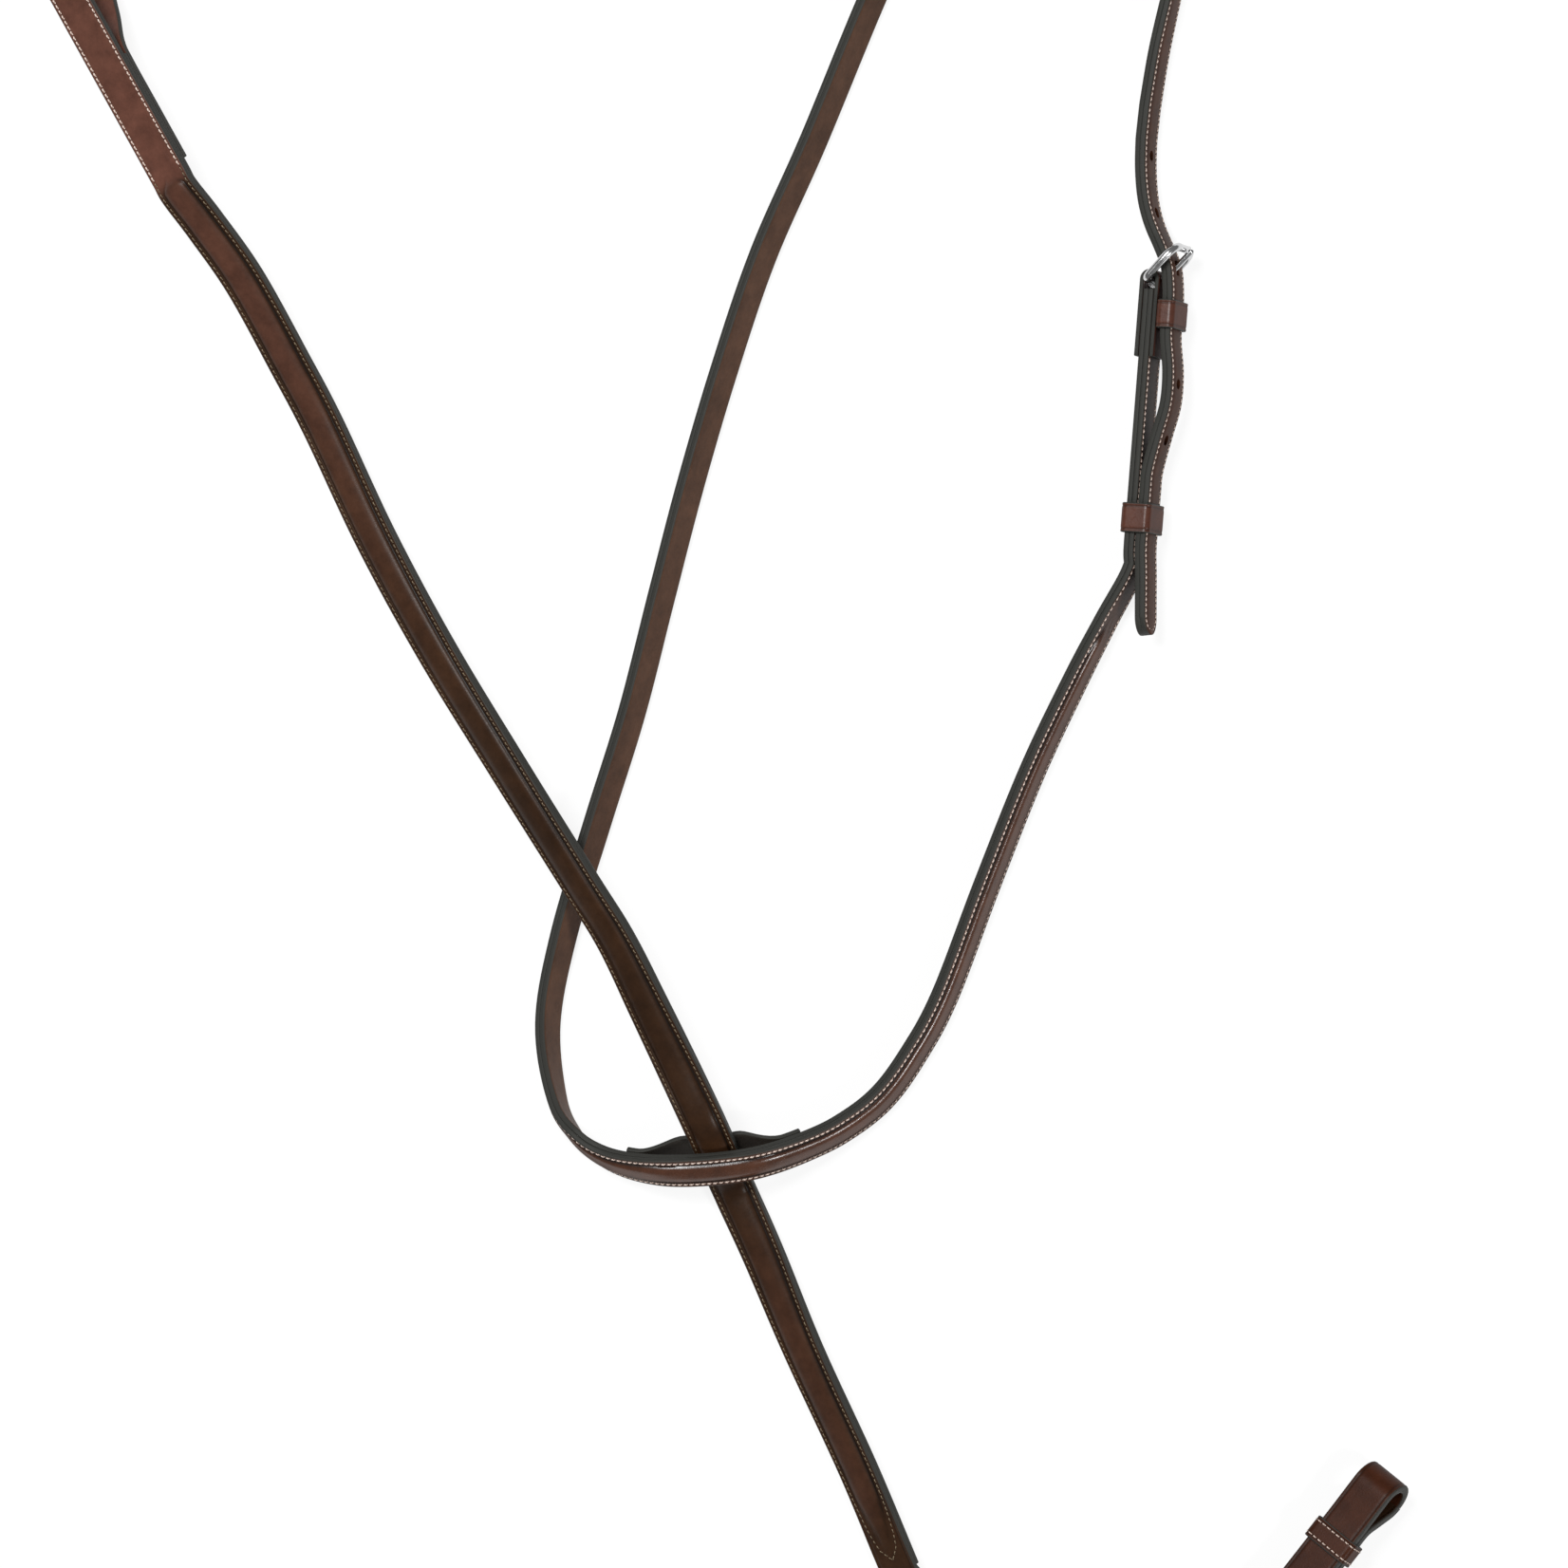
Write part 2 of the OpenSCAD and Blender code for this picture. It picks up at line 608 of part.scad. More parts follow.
// Fold of the girth strap that takes the girth: two plies through the runner, and a round eye at the end
loop_mid_low = girth_low + girth_t / 2;
eye_at = [loop_len - eye_turn_r - girth_t / 2, return_mid + eye_rise - eye_turn_r];
leg_end = girth_runner_at + straight_for(girth_runner_len);
// Where the lower ply bends down towards the eye, past the end of the straight legs
eye_bend = [leg_end + 6, loop_mid_low - 0.34 * eye_open];
loop_path = concat(
  [[slip, loop_mid_low], [leg_end, loop_mid_low], eye_bend],
  [for (turn = [-130:20:90]) eye_point(turn)],
  [[leg_end, return_mid], [slip, return_mid]]
);
function eye_point(turn) = eye_at + eye_turn_r * [cos(turn), sin(turn)];
module on_loop_run() {
  translate(layout_shift) translate(loop_at) rotate([loop_lean, 0, loop_head]) children();
}
module girth_loop() {
  color("#472b21") on_loop_run() across(body_w) polygon(band(loop_path, girth_t));
}

// Leather folded round the girth buckle's bar, its legs drawn together and sewn on top of the strap
module girth_chape() {
  drawn_in = 13;
  color("#5a3226")
    on_girth_run()
      difference() {
        across(body_w) {
          difference() {
            circle(girth_fold_out);
            circle(girth_fold_r);
            translate([0, -girth_fold_out]) square(2 * girth_fold_out);
          }
          translate([0, -girth_fold_out]) square([chape_len, chape_t]);
          polygon([
            [0, girth_fold_out], [0, girth_fold_r], [rod_r, girth_fold_r], [drawn_in - 1, leg_top - chape_t],
            [chape_len, leg_top - chape_t], [chape_len, leg_top], [drawn_in, leg_top], [rod_r, girth_fold_out]
          ]);
        }
        tongue_slot(slot_w, girth_fold_out);
      }
}
module girth_keeper() {
  color("#472b21")
    on_girth_run()
      translate([girth_keeper_at, 0, girth_seat])
        loop_keeper(keeper_len, body_w + 2 * slip, girth_t + 2 * slip);
}
module girth_runner() {
  color("#472b21")
    on_loop_run()
      translate([girth_runner_at, 0, (loop_mid_low + return_mid) / 2])
        loop_keeper(girth_runner_len, body_w + 2 * slip, return_mid - loop_mid_low + girth_t + 2 * slip);
}
module girth_frame() {
  color("silver") on_girth_run() buckle_frame(body_w, girth_tilt);
}
module girth_tongue() {
  color("silver") on_girth_run() buckle_tongue(girth_tilt);
}

neck_face();
neck_core();
neck_lining();
neck_tunnel();
neck_billet();
neck_chape();
neck_keeper();
neck_runner();
neck_frame();
neck_tongue();
body_face();
body_core();
body_lining();
noseband_loop();
girth_strap();
girth_billet();
girth_loop();
girth_chape();
girth_keeper();
girth_runner();
girth_frame();
girth_tongue();
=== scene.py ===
import math

import bpy
import numpy as np
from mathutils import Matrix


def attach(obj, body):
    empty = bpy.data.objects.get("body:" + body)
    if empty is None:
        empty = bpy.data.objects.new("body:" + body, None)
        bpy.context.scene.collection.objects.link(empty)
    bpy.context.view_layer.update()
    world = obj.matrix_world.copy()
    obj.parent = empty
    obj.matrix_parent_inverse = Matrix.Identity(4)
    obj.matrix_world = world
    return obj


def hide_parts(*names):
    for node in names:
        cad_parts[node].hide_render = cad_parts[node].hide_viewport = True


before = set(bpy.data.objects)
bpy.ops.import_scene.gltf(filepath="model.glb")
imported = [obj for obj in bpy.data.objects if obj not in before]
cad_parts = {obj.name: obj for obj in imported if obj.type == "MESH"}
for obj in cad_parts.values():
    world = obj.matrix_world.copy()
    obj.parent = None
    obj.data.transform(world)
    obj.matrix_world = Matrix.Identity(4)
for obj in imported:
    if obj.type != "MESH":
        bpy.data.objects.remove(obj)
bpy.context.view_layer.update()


# Table, camera and lamps. A white sheet lies under the martingale in a dim room, with one soft lamp high over
# its upper left and a weak one at its lower right. The camera looks straight down.
scene = bpy.context.scene
scene.view_settings.view_transform = "Standard"


def add_node(tree, kind, **sockets):
    """New shader node; each socket named (spaces as _) takes a number, a colour or a link."""
    new = tree.nodes.new("ShaderNode" + kind)
    for name, value in sockets.items():
        socket = new.inputs[name.replace("_", " ")]
        if isinstance(value, bpy.types.NodeSocket):
            tree.links.new(value, socket)
        else:
            socket.default_value = value
    return new


CAMERA_HEIGHT = 2.4
PHOTO_WIDTH = 0.69384
SENSOR = 36.0
camera = bpy.data.objects.new("camera", bpy.data.cameras.new("camera"))
camera.location = (0.0353, -0.0084, CAMERA_HEIGHT)
camera.data.sensor_width = SENSOR
camera.data.lens = SENSOR * CAMERA_HEIGHT / PHOTO_WIDTH
camera.data.clip_end = 60.0
scene.collection.objects.link(camera)
scene.camera = camera

world = bpy.data.worlds.new("dim_room")
world.use_nodes = True
world.node_tree.nodes["Background"].inputs["Color"].default_value = (1.0, 1.0, 1.0, 1.0)
world.node_tree.nodes["Background"].inputs["Strength"].default_value = 0.18
scene.world = world

for name, place, size, watts in (
    ("lamp_upper_left", (-0.7, 0.75, 2.1), 0.9, 48.0),
    ("lamp_lower_right", (1.3, -0.9, 1.5), 0.45, 18.0),
):
    lamp = bpy.data.objects.new(name, bpy.data.lights.new(name, "AREA"))
    lamp.data.size = size
    lamp.data.energy = watts
    lamp.location = place
    spot = np.array(place) / np.linalg.norm(place)
    lamp.rotation_euler = (math.acos(spot[2]), 0.0, math.atan2(spot[1], spot[0]) + math.pi / 2)
    scene.collection.objects.link(lamp)

SHEET_HALF = 14.0
sheet_corners = [(x * SHEET_HALF, y * SHEET_HALF, 0) for x, y in ((-1, -1), (1, -1), (1, 1), (-1, 1))]
sheet_mesh = bpy.data.meshes.new("white_sheet")
sheet_mesh.from_pydata(sheet_corners, [], [(0, 1, 2, 3)])
sheet = bpy.data.objects.new("white_sheet", sheet_mesh)
scene.collection.objects.link(sheet)
paper = bpy.data.materials.new("white_paper")
paper.use_nodes = True
tree = paper.node_tree
tree.nodes.remove(tree.nodes["Principled BSDF"])
lit = add_node(tree, "BsdfDiffuse", Color=(0.8, 0.8, 0.8, 1.0))
glow = add_node(tree, "Emission", Color=(1.0, 1.0, 1.0, 1.0), Strength=1.08)
seen = add_node(tree, "MixShader", Fac=0.8)
tree.links.new(lit.outputs[0], seen.inputs[1])
tree.links.new(glow.outputs[0], seen.inputs[2])
path = add_node(tree, "LightPath")
shown = add_node(tree, "Math")
shown.operation = "MAXIMUM"
tree.links.new(path.outputs["Is Camera Ray"], shown.inputs[0])
tree.links.new(path.outputs["Is Glossy Ray"], shown.inputs[1])
through = add_node(tree, "Math")
through.operation = "MAXIMUM"
tree.links.new(shown.outputs[0], through.inputs[0])
tree.links.new(path.outputs["Is Transmission Ray"], through.inputs[1])
whole = add_node(tree, "MixShader", Fac=through.outputs[0])
tree.links.new(lit.outputs[0], whole.inputs[1])
tree.links.new(seen.outputs[0], whole.inputs[2])
tree.links.new(whole.outputs[0], tree.nodes["Material Output"].inputs["Surface"])
sheet_mesh.materials.append(paper)


# Neck strap, outer ply: 16 mm bridle leather over a filler cord, so that its middle stands up as a crown
# between two sewn margins. Cut edges are rounded and painted grey. It runs from the buckle down the right
# side, round past the tunnel, and up the left side with its face underneath.
MM = 0.001
LAYOUT_SHIFT = np.array([4.2, -8.0, 0.1])
FACE_T = LINING_T = 2.4
GLUE = 0.1
SLIP = 0.4
CROWN_H = 1.6
MARGIN_W = 3.4
HALF_T = (FACE_T + GLUE + LINING_T) / 2
NECK_W = 16.0
ROD_D = 3.6
ROD_R = ROD_D / 2
FINE = 9


def sin(degrees):
    """Sine of an angle in degrees."""
    return math.sin(math.radians(degrees))


def cos(degrees):
    """Cosine of an angle in degrees."""
    return math.cos(math.radians(degrees))


def smooth_route(points, steps):
    """Curve through the points: on each stretch b to c, with neighbours a and d and f from 0 to 1,
    b + f/2 (c - a + f (2a - 5b + 4c - d + f (3b - a - 3c + d)))."""
    p = np.asarray(points, float)
    n = len(p)
    i = np.arange(n - 1)
    a, b, c, d = (p[np.clip(i + k, 0, n - 1)][:, None] for k in (-1, 0, 1, 2))
    f = (np.arange(steps) / steps)[None, :, None]
    curve = b + 0.5 * f * (c - a + f * (2 * a - 5 * b + 4 * c - d + f * (3 * b - a - 3 * c + d)))
    return np.vstack([curve.reshape(-1, p.shape[1]), p[-1:]])


def unit(v):
    """Each row of v divided by its own length."""
    return v / np.linalg.norm(v, axis=-1, keepdims=True)


def ease(x, a, b):
    """Eased step from 0 to 1 as x goes from a to b: 3 f^2 - 2 f^3."""
    f = np.clip((np.asarray(x, float) - a) / (b - a), 0, 1)
    return f * f * (3 - 2 * f)


def rest_z(width, lean):
    """Height of a leaning strap's middle when its lowest edge is on the table: half the width times the
    sine of its lean, and half the thickness times the cosine."""
    return width / 2 * abs(np.sin(np.radians(lean))) + HALF_T * abs(np.cos(np.radians(lean)))


def strap_frames(route, width):
    """Middle, width direction and face direction along a route of rows x, y, lean, lift: the width
    direction is the level one turned by lean about the line of travel."""
    st = smooth_route(route, FINE)
    z = np.maximum(0, st[:, 3]) + rest_z(width, st[:, 2])
    middle = np.column_stack([st[:, :2], z])
    along = unit(np.gradient(middle, axis=0))
    level = unit(np.cross([0.0, 0.0, 1.0], along))
    rise = np.cross(along, level)
    c, s = np.cos(np.radians(st[:, 2:3])), np.sin(np.radians(st[:, 2:3]))
    return [middle + LAYOUT_SHIFT, c * level + s * rise, c * rise - s * level]


def local_frame(xy, width, lift, lean, head):
    """Place, line of travel, width direction and face direction of a straight run of strap."""
    at = np.array([xy[0], xy[1], lift + rest_z(width, lean)]) + LAYOUT_SHIFT
    along = np.array([cos(head), sin(head), 0.0])
    level = np.array([-along[1], along[0], 0.0])
    up = np.array([0.0, 0.0, 1.0])
    return at, along, cos(lean) * level + sin(lean) * up, cos(lean) * up - sin(lean) * level


BACK_POINTS, TOP_POINTS = 15, 61
SIDE_POINTS = np.array([-0.35, 0.0, 0.35])


def ply_section(width, low, high, crown=0.0, reach=4.0, seam_in=None, dip=0.0, share=1.0, soft=(0.8, 0.8),
                seam=0.0):
    """Section of a ply, anticlockwise, as rows of (u, v) for each ring: a flat back at low, edges rounded by
    soft, and a top at high + crown (1 - |u/reach|^3)^0.75. The top dips by dip along lines seam_in from the
    edges, and beside the crown. With seam, a notch of that depth runs along the edges. share narrows all."""
    low, high, crown, reach, share = (np.atleast_1d(np.asarray(x, float))[:, None]
                                      for x in (low, high, crown, reach, share))
    half = width / 2
    back_u = half * np.sin(np.linspace(-1, 1, BACK_POINTS) * math.pi / 2)[None]
    top_u = half * np.sin(np.linspace(1, -1, TOP_POINTS) * math.pi / 2)[None]

    def rounding(u, most):
        """Drop near an edge, a quarter round of radius r: r - (r^2 - over^2)^0.5, over the last r."""
        r = np.minimum(most, 0.36 * (high - low))
        over = np.clip(np.abs(u) - (half - r), 0, r)
        return r - np.sqrt(np.maximum(r ** 2 - over ** 2, 0))

    dome = np.clip(1 - np.abs(top_u / reach) ** 3, 0, 1) ** 0.75
    raised = np.clip(crown / CROWN_H, 0, 1)
    top_v = high + crown * dome - rounding(top_u, soft[1])
    # Painted shade along the stitch lines and at the crown's foot; the finish turns it near black.
    groove_shade = 0 * top_v
    if seam_in is not None:
        on_seam = np.exp(-(((np.abs(top_u) - half + seam_in) / 0.5) ** 2))
        foot = np.exp(-(((np.abs(top_u) - reach - 0.2) / 0.55) ** 2)) * raised
        top_v = top_v - dip * (on_seam + 1.6 * foot)
        groove_shade = np.clip(0.5 * on_seam + foot, 0, 1) + groove_shade
    back_v = low + rounding(back_u, soft[0])
    rows = max(top_v.shape[0], back_v.shape[0], share.shape[0])
    side_v = (low + high) / 2 + SIDE_POINTS[None]
    notch = half - seam * np.array([[0.0, 1.0, 0.0]])

    def across(*parts):
        """The parts side by side, repeated for every ring."""
        return np.hstack([np.broadcast_to(x, (rows, x.shape[1])) for x in parts])

    u = across(back_u, notch, top_u, -notch)
    v = across(back_v, side_v, top_v, side_v[:, ::-1])
    flat, sides = np.zeros((1, BACK_POINTS)), np.zeros((1, len(SIDE_POINTS)))
    marks = {
        "edge": ease(np.abs(u), half - 0.75, half - 0.3),
        "wear": across(flat, sides, dome * raised, sides),
        "groove_shade": across(flat, sides, groove_shade, sides),
    }
    return np.stack([u * share, v], -1), marks


def put_piece(name, co, faces, uv, marks, finish):
    """Mesh object at the origin from points in millimetres, a UV for each face corner, point marks that
    the finish reads, and one material."""
    mesh = bpy.data.meshes.new(name)
    mesh.from_pydata((co * MM).tolist(), [], faces)
    mesh.polygons.foreach_set("use_smooth", np.ones(len(mesh.polygons), bool))
    mesh.set_sharp_from_angle(angle=math.radians(62))
    layer = mesh.uv_layers.new(name="along_round")
    layer.data.foreach_set("uv", np.asarray(uv, np.float32).ravel())
    for mark, values in marks.items():
        attribute = mesh.attributes.new(mark, "FLOAT", "POINT")
        attribute.data.foreach_set("value", np.asarray(values, np.float32).ravel())
    mesh.materials.append(finish)
    piece = bpy.data.objects.new(name, mesh)
    scene.collection.objects.link(piece)
    return piece


STEEP, LEVEL = 0.35, 0.7


def carried(name, path, section, finish, ring=False, lips=(0.35, 0.35)):
    """A section carried along a path: point = middle + u * across + v * up, for each (u, v) of the section
    and each row of the path. With ring the path closes on itself, else its ends are rounded by lips and
    capped. Mark dull is 1 where the surface is steep or looks down, and is polished less."""
    middle, across, up = path
    profile, marks = section
    m, k = len(middle), profile.shape[1]
    profile = np.broadcast_to(profile, (m, k, 2))
    marks = {mark: np.broadcast_to(values, (m, k)) for mark, values in marks.items()}
    if not ring:
        start, end = unit(middle[1] - middle[0]), unit(middle[-1] - middle[-2])
        rows = np.r_[0, 0, np.arange(m), m - 1, m - 1]
        middle, across, up = middle[rows], across[rows], up[rows]
        middle[1:3] += np.array([[0.3], [1.0]]) * lips[0] * start
        middle[-3:-1] -= np.array([[1.0], [0.3]]) * lips[1] * end
        profile = profile[rows].copy()
        marks = {mark: values[rows].copy() for mark, values in marks.items()}
        for row, inset in ((0, lips[0]), (1, 0.3 * lips[0]), (-2, 0.3 * lips[1]), (-1, lips[1])):
            lo, hi = profile[row].min(0), profile[row].max(0)
            mid = (lo + hi) / 2
            profile[row] = mid + (profile[row] - mid) * np.maximum(0.05, 1 - 2 * inset / (hi - lo))
            marks["edge"][row] = 1
        m = len(middle)
    step = np.roll(profile, -1, 1) - np.roll(profile, 1, 1)
    outward = unit(step[..., 1:] * across[:, None] - step[..., :1] * up[:, None])
    marks["dull"] = 1 - ease(outward[..., 2], STEEP, LEVEL)
    co = middle[:, None] + profile[..., :1] * across[:, None] + profile[..., 1:] * up[:, None]
    turns = m if ring else m - 1
    i, j = (g.ravel() for g in np.meshgrid(np.arange(turns), np.arange(k), indexing="ij"))
    i2, j2 = (i + 1) % m, (j + 1) % k
    quads = np.column_stack([i * k + j, i * k + j2, i2 * k + j2, i2 * k + j])

    def measured(line):
        """Distance run at each point of a line, in metres, and back to its start."""
        return np.r_[0, np.cumsum(np.linalg.norm(np.diff(line, axis=0, append=line[:1]), axis=1))] * MM

    run, girth = measured(middle), measured(profile[m // 2])
    uv = np.stack([np.column_stack([run[i], run[i], run[i + 1], run[i + 1]]),
                   np.column_stack([girth[j], girth[j + 1], girth[j + 1], girth[j]])], -1).reshape(-1, 2)
    faces = quads.tolist()
    if not ring:
        faces += [list(range(k - 1, -1, -1)), list(range((m - 1) * k, m * k))]
        uv = np.vstack([uv, np.zeros((2 * k, 2))])
    return put_piece(name, co.reshape(-1, 3), faces, uv, marks, finish)


def mix_colour(tree, share, a, b):
    """Colour between a and b by share; each may be a colour or a link."""
    new = tree.nodes.new("ShaderNodeMix")
    new.data_type = "RGBA"
    for socket, value in ((new.inputs[0], share), (new.inputs[6], a), (new.inputs[7], b)):
        if isinstance(value, bpy.types.NodeSocket):
            tree.links.new(value, socket)
        else:
            socket.default_value = value
    return new.outputs[2]


def mark_of(tree, name):
    """Link to the values of a point mark."""
    reader = add_node(tree, "Attribute")
    reader.attribute_name = name
    return reader.outputs["Fac"]


def srgb(*levels):
    """Linear colour of the 0 to 255 levels of a picture."""
    c = np.array(levels) / 255
    return tuple(np.where(c <= 0.04045, c / 12.92, ((c + 0.055) / 1.055) ** 2.4)) + (1.0,)


EDGE_PAINT = srgb(54, 54, 51)
# Painted shade for the grooves: near black.
GROOVE_SHADE = srgb(15, 10, 7)
GRAIN = 0.18
MATT_SHINE, MATT_GLOSS = 0.48, 0.1


def strap_leather(name, dark, light, rub, shine, gloss):
    """Waxed bridle leather: tone from broad and mottled noise, a rubbed tone where wear = 1, painted shade
    near black along the grooves, grey paint where edge = 1. Roughness shine and specular level gloss go matt
    where dull or edge is 1. Pores, fine grain and faint lengthwise creases give the bump."""
    material = bpy.data.materials.new(name)
    material.use_nodes = True
    tree = material.node_tree
    shader = tree.nodes["Principled BSDF"]
    coords = add_node(tree, "TexCoord")
    place = coords.outputs["Object"]
    broad = add_node(tree, "TexNoise", Vector=place, Scale=14.0, Detail=3.0, Roughness=0.5).outputs["Fac"]
    fine = add_node(tree, "TexNoise", Vector=place, Scale=900.0, Detail=3.0, Roughness=0.6).outputs["Fac"]
    pores = add_node(tree, "TexVoronoi", Vector=place, Scale=1500.0).outputs["Distance"]
    lengthwise = add_node(tree, "Mapping", Vector=coords.outputs["UV"], Scale=(60.0, 900.0, 1.0))
    creases = add_node(tree, "TexNoise", Vector=lengthwise.outputs[0], Scale=1.0, Detail=3.0).outputs["Fac"]
    tone = add_node(tree, "MapRange", Value=broad, From_Min=0.3, From_Max=0.7).outputs[0]
    colour = mix_colour(tree, tone, dark, light)
    colour = mix_colour(tree, mark_of(tree, "wear"), colour, rub)
    mottle = add_node(tree, "TexNoise", Vector=place, Scale=110.0, Detail=5.0, Roughness=0.7).outputs["Fac"]
    speck = add_node(tree, "MapRange", Value=mottle, From_Min=0.3, From_Max=0.7, To_Min=0.72, To_Max=1.26)
    speckled = add_node(tree, "VectorMath", Vector=colour)
    speckled.operation = "SCALE"
    tree.links.new(speck.outputs[0], speckled.inputs["Scale"])
    # Painted shade: the colour goes near black along the stitch lines and at the crown's foot.
    groove_shaded = mix_colour(tree, mark_of(tree, "groove_shade"), speckled.outputs[0], GROOVE_SHADE)
    edge = mark_of(tree, "edge")
    tree.links.new(mix_colour(tree, edge, groove_shaded, EDGE_PAINT), shader.inputs["Base Color"])
    rough = add_node(tree, "MapRange", Value=fine, From_Min=0.3, From_Max=0.7, To_Min=shine - 0.05,
                     To_Max=shine + 0.08)
    dull = add_node(tree, "Math", Value=edge)
    dull.operation = "MAXIMUM"
    tree.links.new(mark_of(tree, "dull"), dull.inputs[1])
    matt = add_node(tree, "MapRange", Value=dull.outputs[0], To_Min=rough.outputs[0], To_Max=MATT_SHINE)
    tree.links.new(matt.outputs[0], shader.inputs["Roughness"])
    sheen = add_node(tree, "MapRange", Value=dull.outputs[0], To_Min=gloss, To_Max=MATT_GLOSS)
    tree.links.new(sheen.outputs[0], shader.inputs["Specular IOR Level"])
    height = add_node(tree, "Math", Value=fine)
    height.operation = "ADD"
    tree.links.new(pores, height.inputs[1])
    lined = add_node(tree, "Math", Value=height.outputs[0])
    lined.operation = "ADD"
    tree.links.new(creases, lined.inputs[1])
    bump = add_node(tree, "Bump", Strength=GRAIN, Distance=0.0001, Height=lined.outputs[0])
    tree.links.new(bump.outputs[0], shader.inputs["Normal"])
    return material


havana = strap_leather("havana_strap", srgb(56, 31, 18), srgb(72, 42, 27), srgb(78, 47, 32),
                       shine=0.24, gloss=0.6)

RUN_LEAN, RUN_HEAD = -66.0, -94.5
BAR_XY = np.array([194.5, 221.0])
RUN_LIFT = ((NECK_W / 2 + SLIP + ROD_D + ROD_R) * abs(sin(RUN_LEAN)) + ROD_R * cos(RUN_LEAN)
            - rest_z(NECK_W, RUN_LEAN))
RUNNER_LEN, RUNNER_TRAVEL, RUNNER_AT = 13.0, 6.0, 105.0
RUN_FLAT = RUNNER_LEN / 2 + RUNNER_TRAVEL + SLIP
EYE_PLAY, TONGUE_R = 0.25, 1.3
EYE_R = ROD_R + EYE_PLAY + TONGUE_R
bar_at, run_along, run_u, run_n = local_frame(BAR_XY, NECK_W, RUN_LIFT, RUN_LEAN, RUN_HEAD)
TUNNEL_LEAN = -38.0
TUNNEL_T, TUNNEL_GAP = 2.4, 2 * HALF_T + CROWN_H + 3.0
BODY_W = 19.0
SLIDE_HEAD, SLIDE_SLOPE, SLIDE_LEAN, SLIDE_LOW = -67.0, 31.0, 12.5, 23.0
SLIDE_Z = rest_z(BODY_W, SLIDE_LEAN) + SLIDE_LOW * sin(SLIDE_SLOPE)
CROSS_DROP = HALF_T + (TUNNEL_GAP + CROWN_H) / 2
TUNNEL_LIFT = SLIDE_Z + CROSS_DROP * cos(TUNNEL_LEAN) - rest_z(NECK_W, TUNNEL_LEAN)


def run_station(a):
    """Row of the route at distance a down the straight run behind the neck buckle."""
    x, y = BAR_XY + a * run_along[:2]
    return [x, y, RUN_LEAN, RUN_LIFT]


neck_route = [
    run_station(EYE_R + 2 * SLIP), run_station(60), run_station(RUNNER_AT + RUN_FLAT - 2),
    run_station(RUNNER_AT + RUN_FLAT + 10), [173, 71.5, -62, 0.5 * RUN_LIFT], [160, 46, -58, 0],
    [141, 6, -56, 0], [121, -44, -55, 0], [102, -94, -54, 0], [88, -120, -53, 0], [74, -139, -51, 0],
    [57, -152, -49, 0.14 * TUNNEL_LIFT], [40, -160, -46, 0.5 * TUNNEL_LIFT],
    [21, -166, -41, 0.94 * TUNNEL_LIFT], [2, -169, TUNNEL_LEAN, TUNNEL_LIFT],
    [-20, -170, -42, 0.9 * TUNNEL_LIFT], [-38, -168, -56, 0.44 * TUNNEL_LIFT],
    [-51, -163, -72, 0.1 * TUNNEL_LIFT], [-61, -154, -88, 0], [-69, -139, -104, 0], [-73, -106, -116, 0],
    [-66, -67, -120, 0], [-51, -17, -122, 0], [-36, 31, -122, 0], [-23, 82, -122, 0], [-10, 132, -122, 0],
    [5, 183, -122, 0], [22, 233, -122, 0], [44, 283, -122, 0], [70, 346, -122, 0], [90, 389, -118, 0],
    [113, 426, -110, 0], [142, 451, -100, 0], [174, 457, -90, 0], [199, 443, -83, 0], [211, 414, -79, 0],
    [211, 384, -75, 0], [205.3, 361, -72, 0.05 * RUN_LIFT], [200.3, 340, -69, 0.1 * RUN_LIFT],
    [196, 320, -67, 0.16 * RUN_LIFT], [192.4, 298, RUN_LEAN, 0.22 * RUN_LIFT],
]
BILLET_FROM = 35
neck_frames = strap_frames(neck_route, NECK_W)
neck_strap_path = [x[:BILLET_FROM * FINE + 1] for x in neck_frames]
neck_at = np.arange(BILLET_FROM * FINE + 1) / FINE
RAISE_START, RAISE_STOP = (3.9, 4.5), (34.4, BILLET_FROM)
CROWN_TIP = 0.3
neck_raise = ease(neck_at, *RAISE_START) * (1 - ease(neck_at, *RAISE_STOP))
neck_crown_half = NECK_W / 2 - MARGIN_W
SEAM_IN = 1.75
SEAM_DIP = 0.17
OUTER, INNER = (0.12, 0.8), (0.8, 0.12)
neck_face = carried("neck_strap_face", neck_strap_path, ply_section(
    NECK_W, GLUE / 2, GLUE / 2 + FACE_T, CROWN_H * neck_raise,
    neck_crown_half * (CROWN_TIP + (1 - CROWN_TIP) * neck_raise),
    SEAM_IN, SEAM_DIP, soft=OUTER), havana)
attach(neck_face, "neck_strap")
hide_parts("neck_face", "neck_core")


